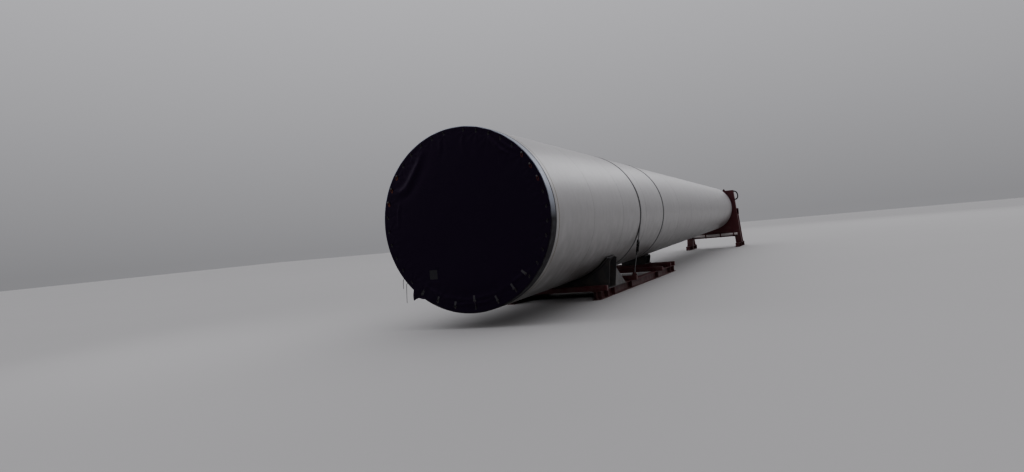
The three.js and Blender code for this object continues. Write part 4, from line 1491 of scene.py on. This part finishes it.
def on_cover(x, up, out=0.0):
    """A point over the cloth's outer side, from the net of depths."""
    a = (x + NET_REACH) / NET_CELL
    b = (up + NET_REACH) / NET_CELL
    i, j = int(a), int(b)
    s, t = a - i, b - j
    depth = (
        DEPTHS[i, j] * (1 - s) * (1 - t) + DEPTHS[i + 1, j] * s * (1 - t)
        + DEPTHS[i, j + 1] * (1 - s) * t + DEPTHS[i + 1, j + 1] * s * t
    )
    return place(x, -(float(depth) + CLOTH + out), up)


def edge_radius(degrees):
    """The cover's edge draws in a little between its ties, and most along its slack stretch."""
    share = float(tie_gap_share(np.array([degrees]))[0])
    drawn = 0.006 * math.sin(math.pi * share) ** 2
    low, high = SLACK_EDGE
    if low < degrees < high:
        drawn = max(drawn, 0.022 * math.sin(math.pi * (degrees - low) / (high - low)))
    return COVER_RADIUS - drawn


def thick_cloth(piece, thickness=CLOTH):
    solid = piece.modifiers.new("cloth thickness", "SOLIDIFY")
    solid.thickness = thickness
    solid.offset = -1


def round_cloth(name, points, around, replaces, towards):
    """A cloth of a middle point and rings round it; towards is 1 where its outer side looks along +y."""
    faces = [(0, 1 + (i + 1) % around, 1 + i) for i in range(around)]
    faces += [tuple(1 + v for v in face) for face in ring_faces(len(points) // around, around, False)]
    cloth = from_points(name, points, [face[::towards] for face in faces], TARP, replaces, smooth=60)
    thick_cloth(cloth)
    return cloth


def cloth_patch(name, rows, look, replaces):
    """A grid of points as one sheet."""
    across = len(rows[0])
    faces = []
    for i in range(len(rows) - 1):
        for a in range(i * across, i * across + across - 1):
            faces.append((a, a + across, a + across + 1, a + 1))
    return from_points(name, [p for row in rows for p in row], faces, look, replaces, smooth=60)


def add_tarpaulin():
    """The cloth over the wide end."""
    around = 432
    shares = [0.05 + 0.78 * i / 42 for i in range(43)] + [0.83 + 0.17 * ((i + 1) / 40) for i in range(40)]
    places = [(0.0, 0.0)]
    edges = [(360 * i / around, edge_radius(360 * i / around)) for i in range(around)]
    for share in shares:
        places += [clock(degrees, share * radius) for degrees, radius in edges]
    x, up = np.array(places).T
    depths = cover_depth(x, up) + CLOTH
    points = [place(a, -d, b) for a, d, b in zip(x, depths, up)]
    return round_cloth("near_cover_tarpaulin", points, around, "near_cover", -1)


def add_hem_stitches():
    threads = Shapes()
    count = 1040
    for inset in (0.010, HEM - 0.008):
        for i in range(count):
            degrees = 360 * i / count
            radius = edge_radius(degrees) - inset
            ends = [on_cover(*clock(degrees + off, radius)) for off in (-0.1, 0.1)]
            threads.tube(ends, 0.0011, 4)
    return threads.piece("near_cover_hem_stitches", STITCH, smooth=60, slot="tarpaulin")


def add_eyelets():
    rings = Shapes()
    profile = [
        (0.009, -0.002), (0.009, 0.003), (0.012, 0.0048), (0.017, 0.0042), (0.020, 0.0), (0.018, -0.002),
    ]
    for degrees in TIE_CLOCKS:
        rings.turned(profile, on_cover_exact(*clock(degrees, TIE_RADIUS)), (0, -1, 0), 20)
    return rings.piece("near_cover_eyelets", EYELET, smooth=50)


def add_tie(loops, balls, degrees, size):
    """An elastic loop through its eyelet, closed by a ball."""
    a, b = clock(degrees, TIE_RADIUS)
    lean = math.radians(rng.uniform(-18, 18))
    rise = Vector((math.sin(lean), math.cos(lean)))
    aside = Vector((rise.y, -rise.x))
    path = []
    for i in range(20):
        turn = 2 * math.pi * i / 20
        shift = (rise * (0.034 * math.cos(turn) + 0.004) + aside * 0.015 * math.sin(turn)) * size
        path.append(on_cover(a + shift.x, b + shift.y, (0.006 + 0.006 * math.cos(turn)) * size))
    loops.tube(path, 0.0046 * size, 8, closed=True)
    head = on_cover(a + rise.x * 0.038 * size, b + rise.y * 0.038 * size, 0.017 * size)
    half = [(0.0005, 0.016), (0.007, 0.0145), (0.0125, 0.010), (0.0155, 0.003)]
    profile = [(r * size, y * size) for r, y in half + [(r, -y) for r, y in reversed(half)]]
    balls.turned(profile, head, (0, -1, 0), 16)


def add_ties():
    """All elastic ties; a few of them are larger and brightly coloured."""
    made = []
    kinds = (("bright", 1.45, ELASTIC, KNOB), ("black", 1.0, WEBBING, RUBBER))
    for label, size, loop_look, ball_look in kinds:
        loops = Shapes()
        balls = Shapes()
        for degrees in TIE_CLOCKS:
            bright = any(low < degrees < high for low, high in BRIGHT_TIES)
            if bright == (label == "bright"):
                add_tie(loops, balls, degrees, size)
        made.append(loops.piece(f"near_cover_{label}_elastic_loops", loop_look, smooth=60, slot="tie_cord"))
        made.append(balls.piece(f"near_cover_{label}_tie_balls", ball_look, smooth=60, slot="tie_cord"))
    return made


def add_tabs():
    """Webbing tabs sewn on along the lower edge, each with a wire ring and its tail."""
    tabs = Shapes()
    frames = Shapes()
    alongs = [-0.065 + 0.13 * j / 8 for j in range(9)]
    outline = [(along, 0.001) for along in alongs] + [(along, 0.0045) for along in reversed(alongs)]
    for degrees, share in TABS:
        run = Vector(clock(degrees + rng.uniform(-5, 5), 1.0))
        aside = Vector((run.y, -run.x))
        middle = Vector(clock(degrees, share * NEAR_RADIUS))

        def at(across, along, out):
            return on_cover(*(middle + aside * across + run * along), out)

        rings = []
        for across in (-0.025, -0.024, 0.024, 0.025):
            ring = []
            for along, layer in outline:
                bend = 0.004 * math.sin(math.pi * (along + 0.065) / 0.13)
                ring.append(at(across, along, layer + bend))
            rings.append(ring)
        tabs.loft(rings)
        loop = rounded_box(-0.030, 0.050, 0.030, 0.078, 0.008, 3)
        frames.tube([at(a, b, 0.007) for a, b in loop], 0.0032, 8, closed=True)
        tail = [at(0, 0.074, 0.006), at(0, 0.112, 0.006), on_cover(*clock(degrees, TIE_RADIUS), 0.006)]
        frames.tube(tail, 0.003, 8)
    strips = tabs.piece("near_cover_webbing_tabs", PALE_WEBBING, smooth=50)
    wire = frames.piece("near_cover_tab_rings", KNOB, smooth=60, slot="ratchet_steel")
    return [strips, wire]


def add_near_cover():
    """The tarpaulin over the wide end with what is sewn and tied to it."""
    cover = add_tarpaulin()
    stitches = add_hem_stitches()
    eyelets = add_eyelets()
    ties = add_ties()
    return cover, [stitches, eyelets, *add_tabs(), *ties]


def add_pocket_border():
    """The pocket's welded border with a studded flap along its top."""
    left, right, top, bottom = POCKET
    strips = (
        (left, bottom, left + 0.020, top), (right - 0.020, bottom, right, top),
        (left, bottom, right, bottom + 0.020), (left - 0.004, top - 0.055, right + 0.004, top),
    )
    border = Shapes()
    for strip, (a0, b0, a1, b1) in enumerate(strips):
        low, high = (0.0055, 0.0085) if strip == 3 else (0.0, 0.0035)
        upright = b1 - b0 > a1 - a0
        sections = []
        for share in [i / 12 for i in range(13)]:
            ring = []
            for s, lift in ((0, low), (1, low), (1, high), (0, high)):
                a = a0 + (a1 - a0) * (s if upright else share)
                b = b0 + (b1 - b0) * (share if upright else s)
                ring.append(on_cover(a, b, lift))
            sections.append(ring)
        border.loft(sections)
    stud = [(0.0, 0.0), (0.008, 0.0), (0.007, 0.003), (0.0, 0.0035)]
    for x in (left + 0.045, right - 0.045):
        border.turned(stud, on_cover(x, top - 0.030, 0.0085), (0, -1, 0), 18)
    return border.piece("near_cover_pocket_border", TARP, smooth=40)


def add_pocket_film():
    """The pocket's film, set over the cloth."""
    left, right, top, bottom = POCKET
    rows = []
    for s in [i / 30 for i in range(31)]:
        row = []
        for t in [j / 26 for j in range(27)]:
            a = left + 0.018 + (right - left - 0.036) * t
            b = top - 0.040 - (top - bottom - 0.058) * s
            belly = 0.0052 * (math.sin(math.pi * s) * math.sin(math.pi * t)) ** 0.6
            ripple = 0.0016 * noise.noise(Vector((a * 26, b * 11, 5.0)))
            row.append(on_cover(a, b, 0.0024 + belly + ripple))
        rows.append(row)
    film = cloth_patch("near_cover_pocket_film", rows, FILM, "near_cover_pocket")
    thick_cloth(film, 0.001)
    return film


def add_loose_corner():
    """The corner of the cover that has come off its tie and hangs past the rim at the lower left."""
    line = smooth_path([(a, b, 0) for a, b in LOOSE_EDGE], 4)
    high_clock, low_clock = LOOSE_CLOCKS
    rows = []
    for i, tip in enumerate(line):
        share = i / (len(line) - 1)
        foot = clock(high_clock - (high_clock - low_clock) * share, COVER_RADIUS - 0.030)
        row = []
        for t in [j / 12 for j in range(13)]:
            a = foot[0] + (tip.x - foot[0]) * t
            b = foot[1] + (tip.y - foot[1]) * t
            wave = 0.012 * math.sin(7.5 * share + 0.6) + 0.006 * math.sin(19 * share + 5 * t)
            wave += 0.004 * noise.noise(Vector((a * 9, b * 9, 2.0)))
            row.append(place(a, -(0.0125 + wave * t), b))
        rows.append(row)
    flap = cloth_patch("near_cover_loose_flap", rows, TARP, "near_cover_loose_corner")
    area = sum(face.area for face in flap.data.polygons)
    thick_cloth(flap)
    return flap, area


def on_far_cover(x, up):
    """A point on the narrow end's cloth, with its sag, its soft waves and the folds between its ties."""
    reach = math.hypot(x, up)
    turn = math.atan2(x, up)
    slack = math.exp(-(FAR_COVER_RADIUS - reach) / 0.10)
    folds = 0.004 * math.cos(turn * FAR_COVER_TIES) * slack
    sag = 0.012 * math.exp(-((up + 0.7) / 0.3) ** 2 - (x / 0.6) ** 2)
    soft = 0.004 * noise.noise(Vector((x * 2.1, up * 2.1, 11.0)))
    pleat = 0.004 * noise.noise(Vector((math.degrees(turn) * 0.3, reach * 3, 4.0))) * slack
    return place(x, LENGTH - 0.012 + sag + folds + soft + pleat, up)


def add_far_cover():
    """The tarpaulin inside the narrow flange, tied to every third of its bolt holes."""
    around = 240
    points = [place(0, LENGTH - 0.012, 0)]
    for share in [0.04 + 0.8 * i / 26 for i in range(27)] + [0.84 + 0.16 * (i + 1) / 14 for i in range(14)]:
        points += [on_far_cover(*clock(360 * i / around, share * FAR_COVER_RADIUS)) for i in range(around)]
    cover = round_cloth("far_cover_tarpaulin", points, around, "far_cover", 1)
    rings = Shapes()
    cords = Shapes()
    profile = [
        (0.008, -0.002), (0.008, 0.003), (0.011, 0.0045), (0.015, 0.004), (0.018, 0.0), (0.016, -0.002),
    ]
    tie_radius = FAR_COVER_RADIUS - FAR_TIE_INSET
    line = (
        (tie_radius, -0.020), (tie_radius + 0.008, -0.002), (1.165, 0.008), (1.20, 0.0075),
        (1.222, 0.003), (1.226, -0.012), (1.226, -0.05),
    )
    for i in range(FAR_COVER_TIES):
        degrees = 360 * i * 3 / FLANGES["far"]["count"]
        rings.turned(profile, on_far_cover(*clock(degrees, tie_radius)), (0, 1, 0), 20)
        path = []
        for reach, out in line:
            x, up = clock(degrees, reach)
            path.append(place(x, LENGTH + out, up))
        cords.tube(smooth_path(path, 4), 0.0045, 8)
    eyelets = rings.piece("far_cover_eyelets", EYELET, smooth=50)
    ties = cords.piece("far_cover_elastic_ties", ELASTIC, smooth=60)
    return cover, [eyelets, ties]


def add_covers():
    cover, on_it = add_near_cover()
    edge = add_pocket_border()
    film = add_pocket_film()
    flap, area = add_loose_corner()
    far, on_far = add_far_cover()


add_camera()
add_tie_cords()
add_studio()
add_shell()
for flange_label, flange_sizes in FLANGES.items():
    add_flange(flange_label, flange_sizes)
for flange_label, flange_sizes in FLANGES.items():
    add_bored_ring(flange_label, flange_sizes)
add_rim_lines()
LEGS = add_lashings()
add_base_beams()
add_cross_beams(LEGS)
for cradle_label, cradle_sizes in CRADLES.items():
    add_cradle(cradle_label, cradle_sizes)
add_face_plate()
add_front_columns()
add_front_beams()
add_hinge_tube()
add_handrail()
add_covers()

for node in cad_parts.values():
    node.data.materials.clear()
    node.data.materials.append(RED.material)
